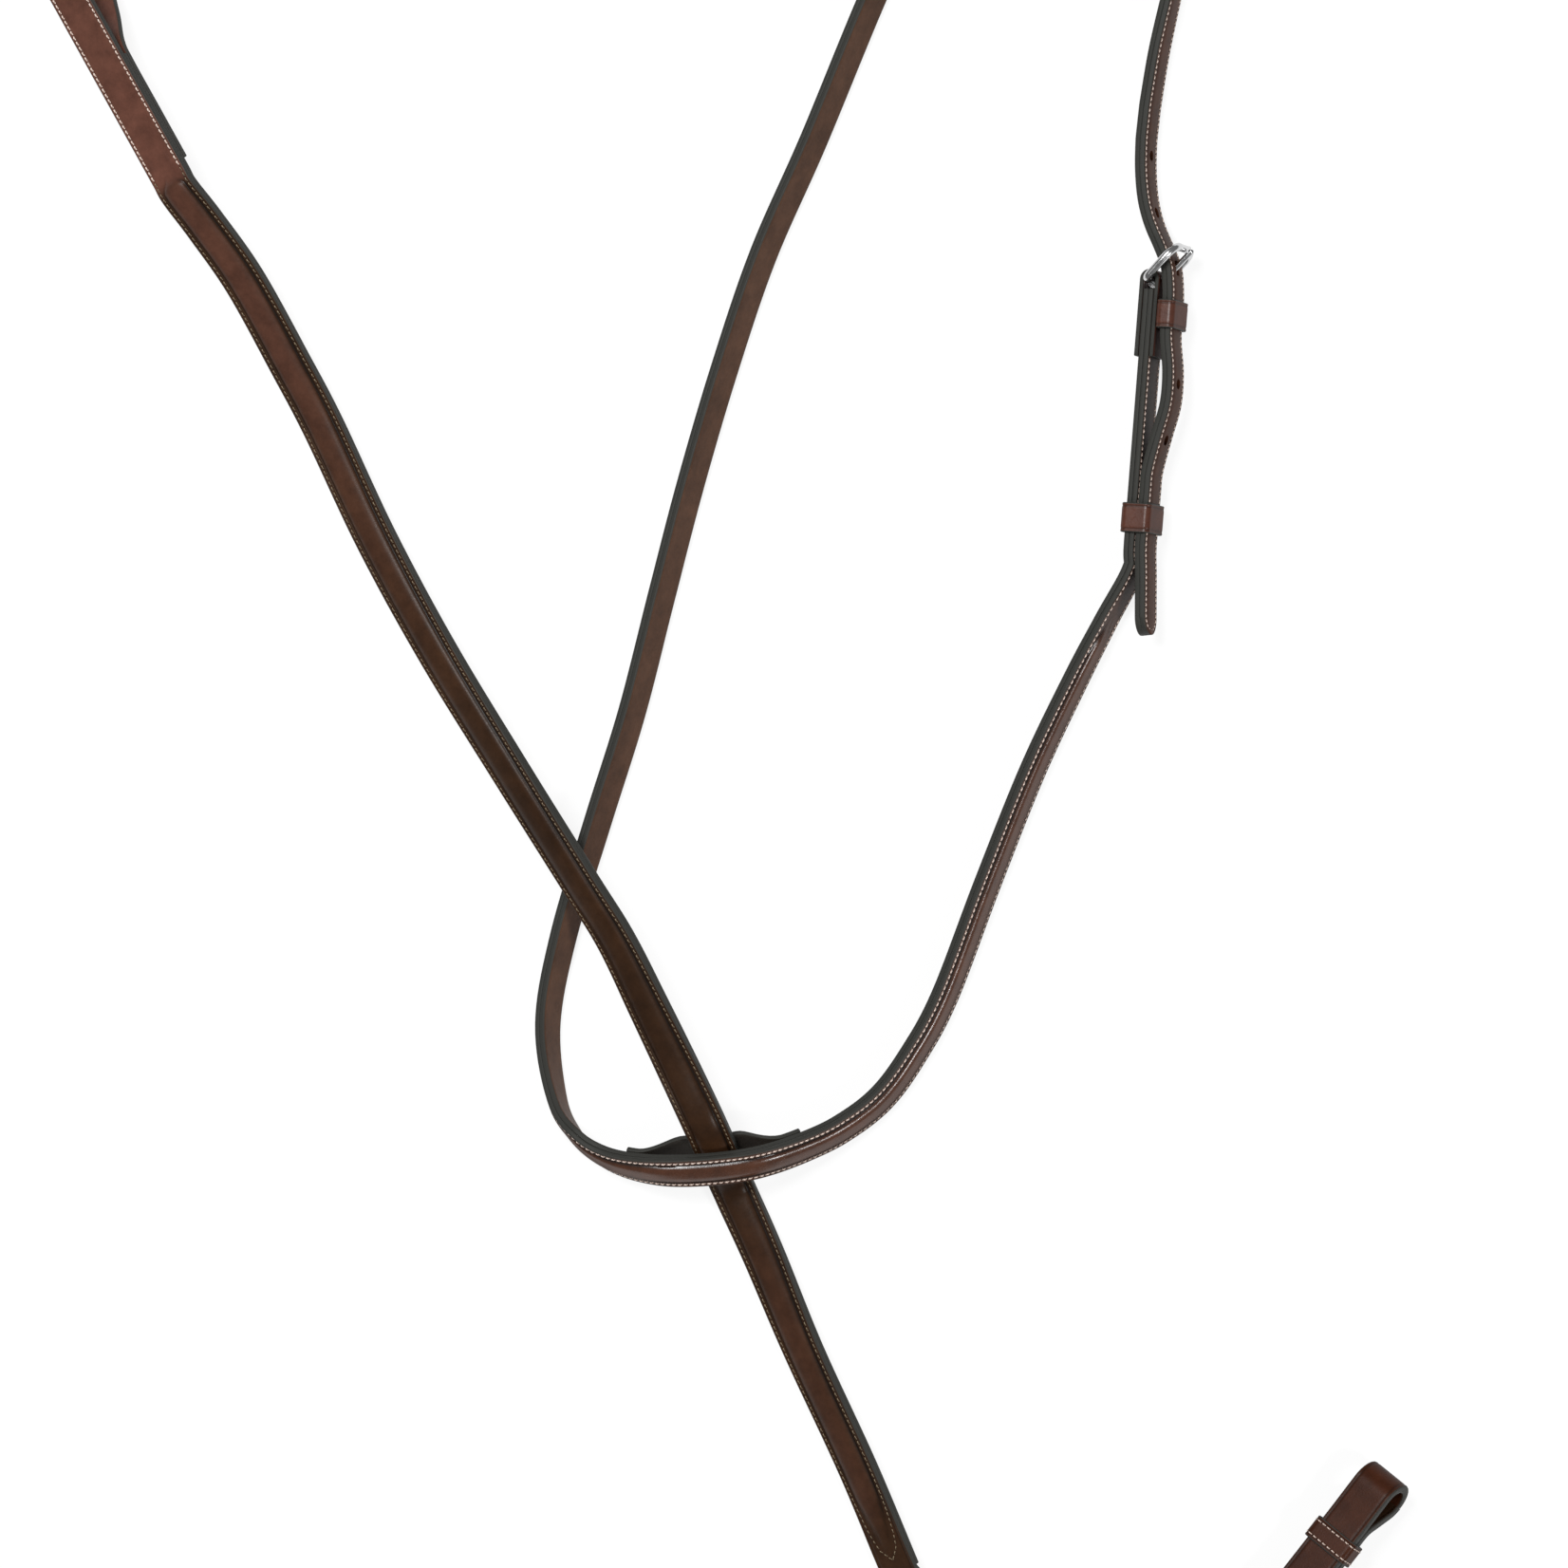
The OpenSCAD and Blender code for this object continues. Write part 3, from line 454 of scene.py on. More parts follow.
# Neck strap, stitching: waxed pale thread, ten stitches to the inch, sewn through both plies along each
# margin. Every stitch lies a little aslant and sinks into its two awl holes.
def sewn(name, rows, finish, pitch=2.6, length=2.15, thick=0.52, slant=8.0):
    """Stitches along rows of (points, outward directions): each is a tube of radius r cos(a)^0.5 round a
    line x = L/2 sin(a), z = hump cos(a) - sink, for a from -82 to 82 degrees, set every pitch."""
    hump, sink = 0.36, 0.24
    a = np.radians(np.array([-82.0, -58.0, -30.0, 0.0, 30.0, 58.0, 82.0]))
    turn = np.arange(6) / 6 * 2 * math.pi
    x = length / 2 * np.sin(a)[:, None] + 0 * turn
    r = thick / 2 * np.cos(a) ** 0.5
    y = r[:, None] * np.cos(turn)
    z = (hump * np.cos(a) - sink)[:, None] + r[:, None] * np.sin(turn)
    rings, sides = x.shape
    i, j = (g.ravel() for g in np.meshgrid(np.arange(rings - 1), np.arange(sides), indexing="ij"))
    this, later, next_j = i * sides, (i + 1) * sides, (j + 1) % sides
    shell = np.column_stack([later + j, later + next_j, this + next_j, this + j])
    shell_uv = np.stack([np.column_stack([i + 1, i + 1, i, i]) / rings * length * MM,
                         np.column_stack([j, j + 1, j + 1, j]) / sides * thick * 3 * MM], -1)
    caps = np.array([np.arange(sides), (rings - 1) * sides + np.arange(sides)[::-1]])
    points, faces, uvs, count = [], [], [], 0
    for line, ups in rows:
        step = np.r_[0, np.cumsum(np.linalg.norm(np.diff(line, axis=0), axis=1))]
        n = max(1, int(step[-1] / pitch))
        at = (np.arange(n) + 0.5) * step[-1] / n
        here, ahead, behind, out = (np.column_stack([np.interp(q, step, c) for c in w.T]) for q, w in
                                    ((at, line), (at + 0.5, line), (at - 0.5, line), (at, ups)))
        along = unit(ahead - behind)
        out = unit(out - (out * along).sum(1, keepdims=True) * along)
        side = np.cross(out, along)
        along, side = cos(slant) * along + sin(slant) * side, cos(slant) * side - sin(slant) * along
        co = sum(w.ravel()[None, :, None] * axis[:, None] for w, axis in ((x, along), (y, side), (z, out)))
        base = count + np.arange(n)[:, None, None] * rings * sides
        points.append((here[:, None] + co).reshape(-1, 3))
        faces += (base + shell).reshape(-1, 4).tolist() + (base + caps).reshape(-1, sides).tolist()
        uvs += [np.tile(shell_uv.reshape(-1, 2), (n, 1)), np.zeros((n * 2 * sides, 2))]
        count += n * rings * sides
    return put_piece(name, np.vstack(points), faces, np.vstack(uvs), {}, finish)


def thread(name, shade, bright):
    """Waxed twisted thread: slanting bands round the stitch, with painted shade in the hollows of the twist,
    the paler tone on its raised lay, and a raised lay.
    """
    material = bpy.data.materials.new(name)
    material.use_nodes = True
    tree = material.node_tree
    shader = tree.nodes["Principled BSDF"]
    round_it = add_node(tree, "TexCoord").outputs["UV"]
    lay = add_node(tree, "Mapping", Vector=round_it, Rotation=(0.0, 0.0, math.radians(35)))
    twist = add_node(tree, "TexWave", Vector=lay.outputs[0], Scale=420.0, Distortion=0.6, Detail=1.0)
    tree.links.new(mix_colour(tree, twist.outputs["Fac"], shade, bright), shader.inputs["Base Color"])
    shader.inputs["Roughness"].default_value = 0.62
    bump = add_node(tree, "Bump", Strength=0.5, Distance=0.00006, Height=twist.outputs["Fac"])
    tree.links.new(bump.outputs[0], shader.inputs["Normal"])
    return material


def row_on(path, u, v, first=0, last=None):
    """Line at (u, v) of a strap's section along part of its path, with the directions out of its face."""
    middle, across, up = (x[first:last] for x in path)
    u, v = (np.broadcast_to(w, len(middle))[:, None] for w in (u, v))
    return middle + u * across + v * up, up


pale_thread = thread("pale_thread", srgb(165, 140, 126), srgb(236, 218, 206))
BOLD_STITCH = {"pitch": 2.6, "length": 2.3, "thick": 0.8}
face_top = GLUE / 2 + FACE_T - SEAM_DIP
neck_seam = NECK_W / 2 - SEAM_IN
neck_rows = [row_on(neck_strap_path, s * neck_seam, face_top, first=3) for s in (-1, 1)]
neck_stitches = sewn("neck_strap_stitches", neck_rows, pale_thread, **BOLD_STITCH)
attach(neck_stitches, "neck_strap")


# Neck strap, lining: a flat ply of softer, duller leather, glued and sewn to the back of the outer ply and
# painted with it along the edges. It is what shows on the left side of the loop.
lining = strap_leather("lining_leather", srgb(76, 51, 36), srgb(90, 62, 46), srgb(90, 62, 46),
                       shine=0.55, gloss=0.14)
neck_lining = carried("neck_strap_lining", neck_strap_path,
                      ply_section(NECK_W, -HALF_T, -GLUE / 2, soft=INNER), lining)
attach(neck_lining, "neck_strap")
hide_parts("neck_lining")


# Tunnel: a short dark ply sewn to the back of the neck strap at both its ends, standing off between them so
# that the sliding strap passes through.
tunnel_leather = strap_leather("tunnel_leather", srgb(40, 36, 32), srgb(54, 49, 44), srgb(58, 54, 50),
                               shine=0.45, gloss=0.2)
TUNNEL_FROM, TUNNEL_TO = 12, 16
tunnel_path = [x[TUNNEL_FROM * FINE:TUNNEL_TO * FINE + 1] for x in neck_frames]
f = np.linspace(0, 1, len(tunnel_path[0]))
STAND_OFF, COME_BACK = (0.1, 0.36), (0.66, 0.92)
tunnel_top = -HALF_T - GLUE - TUNNEL_GAP * ease(f, *STAND_OFF) * (1 - ease(f, *COME_BACK))
tunnel = carried("tunnel_ply", tunnel_path, ply_section(NECK_W, tunnel_top - TUNNEL_T, tunnel_top),
                 tunnel_leather)
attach(tunnel, "neck_strap")
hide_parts("neck_tunnel")


# Neck billet: the two sewn plies run on flat from the crown's end, through the buckle, keeper and runner, to
# a rounded tip. Dense pale stitching goes down both edges and round the tip, and holes are punched for the
# tongue.
KEEPER_WALL, KEEPER_LEN, KEEPER_AT = 1.5, 12.5, 15.0
CHAPE_T, CHAPE_LEN = 2.0, 34.0
FOLD_R = HALF_T + GLUE
BILLET_HIGH = FOLD_R + CHAPE_T + GLUE + KEEPER_WALL + SLIP + HALF_T
BILLET_LOW = 2 * HALF_T + SLIP
billet_line = smooth_route([
    [62, -9.4], [49, -8.6], [36, -6.4], [25, -2.6], [14, 3.3], [7, 6.7], [0, BILLET_HIGH - 0.8],
    [-8, BILLET_HIGH], [-16, BILLET_HIGH], [-26, BILLET_HIGH + 0.4], [-40, BILLET_HIGH + 2.6],
    [-54, BILLET_HIGH + 2.6], [-68, BILLET_HIGH - 0.4], [-RUNNER_AT + RUN_FLAT + 9, BILLET_LOW + 0.3],
    [-RUNNER_AT + RUN_FLAT, BILLET_LOW], [-RUNNER_AT, BILLET_LOW], [-RUNNER_AT - RUN_FLAT, BILLET_LOW],
    [-RUNNER_AT - RUN_FLAT - 12, BILLET_LOW + 1.1], [-150, BILLET_LOW + 2.7], [-156, BILLET_LOW + 3.5],
], 6)


def in_run(line, at, along, across, up):
    """Path rows of a line of (distance along, height) in a straight run's own frame."""
    slope = unit(np.gradient(line, axis=0))
    middle = at + line[:, :1] * along + line[:, 1:] * up
    travel = slope[:, :1] * along + slope[:, 1:] * up
    wide = np.broadcast_to(across, middle.shape)
    return [middle, wide, np.cross(travel, wide)]


def tip_path(path, tip_len):
    """The path measured off again at 2 mm steps, closer over the last tip_len, with the share of the width
    at each row: (1 - x^2)^0.5, where x goes from 0 to 1 over the tip. Also each row's distance and the
    length."""
    run = np.r_[0, np.cumsum(np.linalg.norm(np.diff(path[0], axis=0), axis=1))]
    body = run[-1] - tip_len
    x = np.sin(np.linspace(0, 0.965, 13) * math.pi / 2)
    at = np.r_[np.linspace(0, body, int(body / 2.0))[:-1], body + tip_len * x]
    middle, across, up = (np.column_stack([np.interp(at, run, c) for c in w.T]) for w in path)
    share = np.sqrt(1 - np.clip((at - body) / tip_len, 0, 1) ** 2)
    return [middle, unit(across), unit(up)], share, at, run[-1]


def prism(outline, way):
    """Points and faces of a solid with the given outline, carried along the vector way."""
    n = len(outline)
    k = np.arange(n)
    walls = np.column_stack([k, (k + 1) % n, n + (k + 1) % n, n + k])
    return np.vstack([outline, outline + way]), walls.tolist() + [k[::-1].tolist(), (n + k).tolist()]


def punched(piece, cutters):
    """The piece with holes where the cutters, solids that stay clear of each other, go through it."""
    points, faces = [], []
    for co, sides in cutters:
        base = sum(map(len, points))
        points.append(co)
        faces += [[base + i for i in side] for side in sides]
    mesh = bpy.data.meshes.new("punch")
    mesh.from_pydata((np.vstack(points) * MM).tolist(), [], faces)
    mesh.validate()
    tool = bpy.data.objects.new("punch", mesh)
    scene.collection.objects.link(tool)
    cut = piece.modifiers.new("punch", "BOOLEAN")
    cut.object, cut.operation, cut.solver = tool, "DIFFERENCE", "EXACT"
    bpy.context.view_layer.update()
    result = bpy.data.meshes.new_from_object(piece.evaluated_get(bpy.context.evaluated_depsgraph_get()))
    piece.modifiers.remove(cut)
    plain, piece.data = piece.data, result
    bpy.data.meshes.remove(plain)
    result.name = piece.name
    bpy.data.objects.remove(tool)
    bpy.data.meshes.remove(mesh)
    result.set_sharp_from_angle(angle=math.radians(40))


FRAME_LEN, TONGUE_REACH = 19.0, 5.0
FRAME_PLAY, TONGUE_LIFT = 4, 6
NECK_TILT, GIRTH_TILT = 40, 26
HOLE_D, HOLE_PITCH = 4.5, 25.0
TONGUE_OFF = ROD_R + EYE_PLAY + TONGUE_R / 2
CUT_HALF = TONGUE_R + SLIP


def tongue_cut(at, along, across, up, tilt):
    """Wedge that the tongue sweeps: between its lowest line at angle t0 and its highest at t1, where a line
    at angle t starts (sin t, cos t) * offset from the bar and runs on along (-cos t, sin t)."""
    rest = math.degrees(math.asin((ROD_R + TONGUE_R + EYE_PLAY - TONGUE_OFF) / FRAME_LEN))
    corners = []
    for swing, offset, ends in ((-FRAME_PLAY, TONGUE_OFF - CUT_HALF, (0, FRAME_LEN)),
                                (FRAME_PLAY + TONGUE_LIFT, TONGUE_OFF + CUT_HALF, (FRAME_LEN, 0))):
        t = tilt + rest + swing
        corners += [[offset * sin(t) - e * cos(t), offset * cos(t) + e * sin(t)] for e in ends]
    corners = np.array(corners)
    outline = at + corners[:, :1] * along + corners[:, 1:] * up - CUT_HALF * across
    return prism(outline, 2 * CUT_HALF * across)


def hole_cut(at, along, across, up):
    """Round punch through a billet: a circle of 24 points carried the same way up and down."""
    sides, half_long = 24, 20
    turn = np.arange(sides) / sides * 2 * math.pi
    ring = HOLE_D / 2 * (np.cos(turn)[:, None] * along + np.sin(turn)[:, None] * across)
    return prism(at + ring - half_long * up, 2 * half_long * up)


neck_axes = (run_along, run_u, run_n)
NECK_TIP, BILLET_CROWN, BILLET_REACH = 8.0, 0.25, 4.6
billet_leather = strap_leather("billet_leather", srgb(60, 34, 21), srgb(78, 46, 31), srgb(80, 48, 34),
                               shine=0.5, gloss=0.08)
in_billet = in_run(billet_line * [-1, 1], bar_at, *neck_axes)
billet_whole = [np.vstack([x[BILLET_FROM * FINE:], y]) for x, y in zip(neck_frames, in_billet)]
billet_path, billet_share, billet_at, billet_len = tip_path(billet_whole, NECK_TIP)
neck_billet = carried("neck_billet_strap", billet_path, ply_section(
    NECK_W, -HALF_T, HALF_T, BILLET_CROWN, BILLET_REACH, SEAM_IN, SEAM_DIP, billet_share, seam=0.3),
    billet_leather)
punched(neck_billet, [hole_cut(bar_at + (i * HOLE_PITCH - TONGUE_REACH) * run_along, *neck_axes)
                      for i in (-2, -1, 2, 3)] + [tongue_cut(bar_at, *neck_axes, NECK_TILT)])
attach(neck_billet, "neck_strap")
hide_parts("neck_billet")


def round_tip(path, at, length, seam_u, top, start, tip_len, tip_in):
    """Stitch line down one edge from start, round the last tip_len in a half ellipse that stops tip_in from
    the end, and back up the other edge."""
    turn = np.radians(np.linspace(-90, 90, 25))
    straight = np.arange(start, length - tip_len, 2.0)
    s = np.r_[straight, length - tip_len + (tip_len - tip_in) * np.cos(turn), straight[::-1]]
    u = np.r_[-seam_u + 0 * straight, seam_u * np.sin(turn), seam_u + 0 * straight]
    middle, across, up = (np.column_stack([np.interp(s, at, c) for c in w.T]) for w in path)
    return middle + u[:, None] * across + top * up, up


billet_row = round_tip(billet_path, billet_at, billet_len, neck_seam, HALF_T - SEAM_DIP,
                       start=4.0, tip_len=9.0, tip_in=2.2)
billet_stitches = sewn("neck_billet_stitches", [billet_row], pale_thread, pitch=2.4, length=2.05, thick=0.72)
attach(billet_stitches, "neck_strap")


# Neck chape: a short strap folded round the buckle's bar, slit for the tongue, its two legs sewn to the face
# and the back of the neck strap.
red_leather = strap_leather("chape_leather", srgb(62, 31, 22), srgb(84, 44, 33), srgb(90, 50, 40),
                            shine=0.33, gloss=0.2)
THIN_DIP = 0.1
LEG_START = 0.8


def fold_line(fold_mid, legs):
    """Line of a folded strap: up one leg, half round the bar at fold_mid, and along the other leg."""
    turn = np.radians(np.linspace(-90, 90, 25))
    bend = np.column_stack([-fold_mid * np.cos(turn), fold_mid * np.sin(turn)])
    first = np.column_stack([np.linspace(legs[0][0], LEG_START, 14), np.full(14, legs[0][1])])
    return np.vstack([first, bend, smooth_route(legs[1:], 6)])


def bar_slit(at, along, across, up, reach):
    """Slit through the fold where the tongue's eye sits on the bar."""
    far = reach + 2
    outline = at + np.array([[-far, -far], [EYE_R, -far], [EYE_R, far], [-far, far]]) @ np.array([along, up])
    return prism(outline - CUT_HALF * across, 2 * CUT_HALF * across)


def chape(name, line, at, axes, width, reach):
    """Folded strap along the line, with its slit; the path is kept for its stitching."""
    along, across, up = axes
    path = in_run(line, at, along, -across, up)
    section = ply_section(width, -CHAPE_T / 2, CHAPE_T / 2, seam_in=SEAM_IN, dip=THIN_DIP)
    piece = carried(name, path, section, red_leather)
    punched(piece, [bar_slit(at, *axes, reach)])
    return piece, path


fold_mid = FOLD_R + CHAPE_T / 2
neck_fold = fold_line(fold_mid, [
    [CHAPE_LEN, -fold_mid], [LEG_START, fold_mid], [12, fold_mid], [24, fold_mid], [CHAPE_LEN, fold_mid]])
neck_chape, neck_chape_path = chape("neck_chape_fold", neck_fold, bar_at, neck_axes, NECK_W,
                                    FOLD_R + CHAPE_T)
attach(neck_chape, "neck_strap")
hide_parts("neck_chape")
chape_rows = [row_on(neck_chape_path, s * neck_seam, CHAPE_T / 2 - THIN_DIP, first, last)
              for s in (-1, 1) for first, last in ((1, 11), (-12, -1))]
chape_stitches = sewn("neck_chape_stitches", chape_rows, pale_thread)
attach(chape_stitches, "neck_strap")


# Keeper and runner of the neck buckle: bands of thinner leather bent into flat loops, creased along both
# edges. The keeper is sewn fast behind the buckle and the runner slides over both strands.
keeper_leather = strap_leather("keeper_leather", srgb(76, 43, 32), srgb(96, 58, 45), srgb(102, 64, 52),
                               shine=0.3, gloss=0.3)


def flat_loop(at, along, across, up, wide, high):
    """Path round a rectangle wide by high with corners of radius 2, anticlockwise seen along the strap."""
    a, b, r = wide / 2 + KEEPER_WALL / 2, high / 2 + KEEPER_WALL / 2, 2.0
    turn = np.radians(np.linspace(0, 90, 9))
    corners = ((a - r, b - r), (-a + r, b - r), (-a + r, -b + r), (a - r, -b + r))
    turns = [turn + quarter * math.pi / 2 for quarter in range(4)]
    line = np.vstack([np.array(corner) + r * np.column_stack([np.cos(t), np.sin(t)])
                      for corner, t in zip(corners, turns)])
    closed = np.vstack([line, line[:1]])
    run = np.r_[0, np.cumsum(np.linalg.norm(np.diff(closed, axis=0), axis=1))]
    s = np.linspace(0, run[-1], 145)[:-1]
    line = np.column_stack([np.interp(s, run, c) for c in closed.T])
    slope = unit(np.roll(line, -1, 0) - np.roll(line, 1, 0))
    out = np.column_stack([slope[:, 1], -slope[:, 0]])
    middle = at + line[:, :1] * across + line[:, 1:] * up
    return [middle, np.broadcast_to(along, middle.shape), out[:, :1] * across + out[:, 1:] * up]


def band(name, at, axes, strap_w, high, length, finish=keeper_leather):
    """Loop of leather of the given length round straps of width strap_w and height high."""
    path = flat_loop(at, *axes, strap_w + 2 * SLIP, high + 2 * SLIP)
    section = ply_section(length, -KEEPER_WALL / 2, KEEPER_WALL / 2, seam_in=1.5, dip=0.14)
    return carried(name, path, section, finish, ring=True), path


neck_keeper, _ = band("neck_keeper_band", bar_at + KEEPER_AT * run_along + BILLET_HIGH * run_n,
                      neck_axes, NECK_W, 2 * HALF_T, KEEPER_LEN)
neck_runner, _ = band("neck_runner_band", bar_at + RUNNER_AT * run_along + BILLET_LOW / 2 * run_n,
                      neck_axes, NECK_W, BILLET_LOW + 2 * HALF_T, RUNNER_LEN)
for piece, body, solid in ((neck_keeper, "neck_strap", "neck_keeper"),
                           (neck_runner, "neck_runner", "neck_runner")):
    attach(piece, body)
    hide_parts(solid)


# Buckles: frames and tongues of bent round steel rod, polished, with fine wiping scratches. The rods keep
# the shape that the frame gives them.
steel = bpy.data.materials.new("polished_steel")
steel.use_nodes = True
tree = steel.node_tree
shader = tree.nodes["Principled BSDF"]
place = add_node(tree, "TexCoord").outputs["Object"]
long_way = add_node(tree, "Mapping", Vector=place, Scale=(1.0, 0.2, 1.0))
wiped = add_node(tree, "TexNoise", Vector=long_way.outputs[0], Scale=2200.0, Detail=3.0).outputs["Fac"]
dull = add_node(tree, "TexNoise", Vector=place, Scale=160.0, Detail=2.0).outputs["Fac"]
sheen = mix_colour(tree, dull, (0.54, 0.54, 0.55, 1.0), (0.72, 0.72, 0.72, 1.0))
tree.links.new(sheen, shader.inputs["Base Color"])
gloss = add_node(tree, "MapRange", Value=dull, From_Min=0.3, From_Max=0.7, To_Min=0.12, To_Max=0.26)
tree.links.new(gloss.outputs[0], shader.inputs["Roughness"])
shader.inputs["Metallic"].default_value = 1.0
bump = add_node(tree, "Bump", Strength=0.12, Distance=0.00005, Height=wiped)
tree.links.new(bump.outputs[0], shader.inputs["Normal"])
for name in ("neck_frame", "neck_tongue", "girth_frame", "girth_tongue"):
    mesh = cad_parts[name].data
    mesh.materials.clear()
    mesh.materials.append(steel)


# Sliding strap, outer ply: one length of 19 mm leather. It starts behind the noseband loop, folds round it,
# is raised over a filler from there to below the tunnel, and runs on flat and thicker as the girth strap to
# the fold that takes the girth.
GIRTH_T, LET_OUT, LOOP_OPEN, EYE_OPEN = 4.0, 3.0, 22.0, 12.0
front = GLUE / 2 + FACE_T / 2
back = -HALF_T - GLUE - FACE_T / 2
low = front - LOOP_OPEN
NOSE_HEAD, NOSE_LEAN, NOSE_XY = -61.0, 30.0, (-238.0, 267.0)
NOSE_SEWN, NOSE_LEN, NOSE_END = 55.0, 148.0, -3.0
NOSE_LIFT = (FACE_T / 2 - HALF_T - low) * cos(NOSE_LEAN) + GLUE
nose_at, nose_along, nose_u, nose_n = local_frame(NOSE_XY, BODY_W, NOSE_LIFT, NOSE_LEAN, NOSE_HEAD)
slide_dir = np.array([cos(SLIDE_SLOPE) * cos(SLIDE_HEAD), cos(SLIDE_SLOPE) * sin(SLIDE_HEAD),
                      -sin(SLIDE_SLOPE)])
CROSS_SKEW = 0.12
cross_dir = np.array([CROSS_SKEW * sin(-TUNNEL_LEAN), sin(-TUNNEL_LEAN), -cos(TUNNEL_LEAN)])
slide_at = np.array([2.0, -169.0, TUNNEL_LIFT + rest_z(NECK_W, TUNNEL_LEAN)]) + CROSS_DROP * cross_dir
LEFT_LEAN, OVER_LEAN = -122.0, 38.0
OVER_LIFT = (NECK_W * abs(sin(LEFT_LEAN)) + 2 * HALF_T * abs(cos(LEFT_LEAN)) + CROWN_H
             + LET_OUT * sin(SLIDE_SLOPE) + SLIP)
OVER_MID = OVER_LIFT + rest_z(BODY_W, OVER_LEAN)
GIRTH_Y = -430.0
LOOP_HEAD, LOOP_LEAN, LOOP_XY, LOOP_LEN = 52.0, -30.0, (262.7, -347.0), 56.0
GIRTH_RUNNER_AT, GIRTH_RUNNER_LEN = 17.0, 10.5
loop_mid = -HALF_T + GIRTH_T / 2
return_mid = -HALF_T + GIRTH_T + SLIP + GIRTH_T / 2
EYE_RISE = 0.6
eye_turn_r = (EYE_OPEN + GIRTH_T) / 2
eye_at = np.array([LOOP_LEN - eye_turn_r - GIRTH_T / 2, return_mid + EYE_RISE - eye_turn_r])
LOOP_LIFT = (-HALF_T - (eye_at[1] - eye_turn_r - GIRTH_T / 2)) * cos(LOOP_LEAN) + GLUE
loop_at, loop_along, loop_u, loop_n = local_frame(LOOP_XY, BODY_W, LOOP_LIFT, LOOP_LEAN, LOOP_HEAD)


def nose_station(a):
    """Row of the route at distance a down the noseband loop's straight run."""
    return [NOSE_XY[0] + a * nose_along[0], NOSE_XY[1] + a * nose_along[1], NOSE_LEAN, NOSE_LIFT]


def over_station(x, y, lean):
    """Row of the route where the strap crosses over the neck strap, its middle level at OVER_MID."""
    return [x, y, lean, OVER_MID - rest_z(BODY_W, lean)]


def slide_station(a):
    """Row of the route at distance a down the straight slope through the tunnel."""
    x, y, z = slide_at + a * slide_dir
    return [x, y, SLIDE_LEAN, z - rest_z(BODY_W, SLIDE_LEAN)]


def loop_station(a):
    """Row of the route at distance a along the girth loop's straight run."""
    return [LOOP_XY[0] + a * loop_along[0], LOOP_XY[1] + a * loop_along[1], LOOP_LEAN, LOOP_LIFT]


body_route = [
    nose_station(-NOSE_SEWN), nose_station(-NOSE_SEWN / 2), nose_station(0), nose_station(9),
    [-222.5, 244.5, 27, 0.85 * NOSE_LIFT], [-205.5, 220, 24, 0.6 * NOSE_LIFT],
    [-186, 184, 22, 0.25 * NOSE_LIFT], [-172, 157, 22, 0.05 * NOSE_LIFT], [-148.5, 107, 25, 0.02 * OVER_LIFT],
    [-121, 57, 31, 0.3 * OVER_LIFT], [-89.3, 6, 36, 0.8 * OVER_LIFT],
    over_station(-57.8, -44, OVER_LEAN), over_station(-42.3, -69, 36), over_station(-28, -98, 28),
    over_station(-15, -125, 19), slide_station(-22), slide_station(-8), slide_station(8),
    slide_station(SLIDE_LOW), [22, -208, 22, 0], [40, -251, 33, 0], [64, -303, 35, 0], [84, -351, 33, 0],
    [94, -374, 28, 0], [108, -399, 18, 0], [123, -419, 7, 0], [137, -428, 1.5, 0], [150, GIRTH_Y, 0, 0],
    [175, GIRTH_Y, 0, 0], [205, GIRTH_Y, 0, 0], [222, -428, -2, 0], [236, -418, -7, 0],
    [242, -399, -14, 0.1 * LOOP_LIFT], [245.8, -380, -22, 0.5 * LOOP_LIFT],
    loop_station(-20), loop_station(-8), loop_station(0),
]
FACE_FROM, CROWN_END, GIRTH_FROM, PAST_END = 2, 21.15, 22, 40.0
CROWN_FADE, SEAM_FADE = 0.57, 0.65
THICKENS = (GIRTH_FROM - 0.4, GIRTH_FROM + 0.3)
body_frames = strap_frames(body_route, BODY_W)
nose_line = smooth_route([
    [NOSE_END, back], [NOSE_END - 8, back], [-NOSE_SEWN / 2, back], [-NOSE_SEWN + 4, back],
    [-NOSE_SEWN - 6, 0.08 * low + 0.92 * back], [-NOSE_SEWN - 20, 0.55 * low + 0.45 * back],
    [-NOSE_SEWN - 38, low + 0.06 * LOOP_OPEN], [-NOSE_LEN + 20, low], [-NOSE_LEN + 5, low + 0.13 * LOOP_OPEN],
    [-NOSE_LEN, front - 0.5 * LOOP_OPEN], [-NOSE_LEN + 6, front - 0.16 * LOOP_OPEN], [-NOSE_LEN + 22, front],
    [-NOSE_SEWN - 30, front], [-NOSE_SEWN, front], [-NOSE_SEWN / 2, front], [-SLIP, front],
], FINE)
nose_path = in_run(nose_line, nose_at, nose_along, nose_u, nose_n)
nose_path[0] = nose_path[0] - front * nose_path[2]
leg_end = GIRTH_RUNNER_AT + GIRTH_RUNNER_LEN / 2 + RUNNER_TRAVEL + SLIP


def eye_points(first, last, step):
    """Points round the girth loop's eye, from turn first to turn last in degrees."""
    turn = np.radians(np.arange(first, last + step / 2, step))
    return eye_at + eye_turn_r * np.column_stack([np.cos(turn), np.sin(turn)])


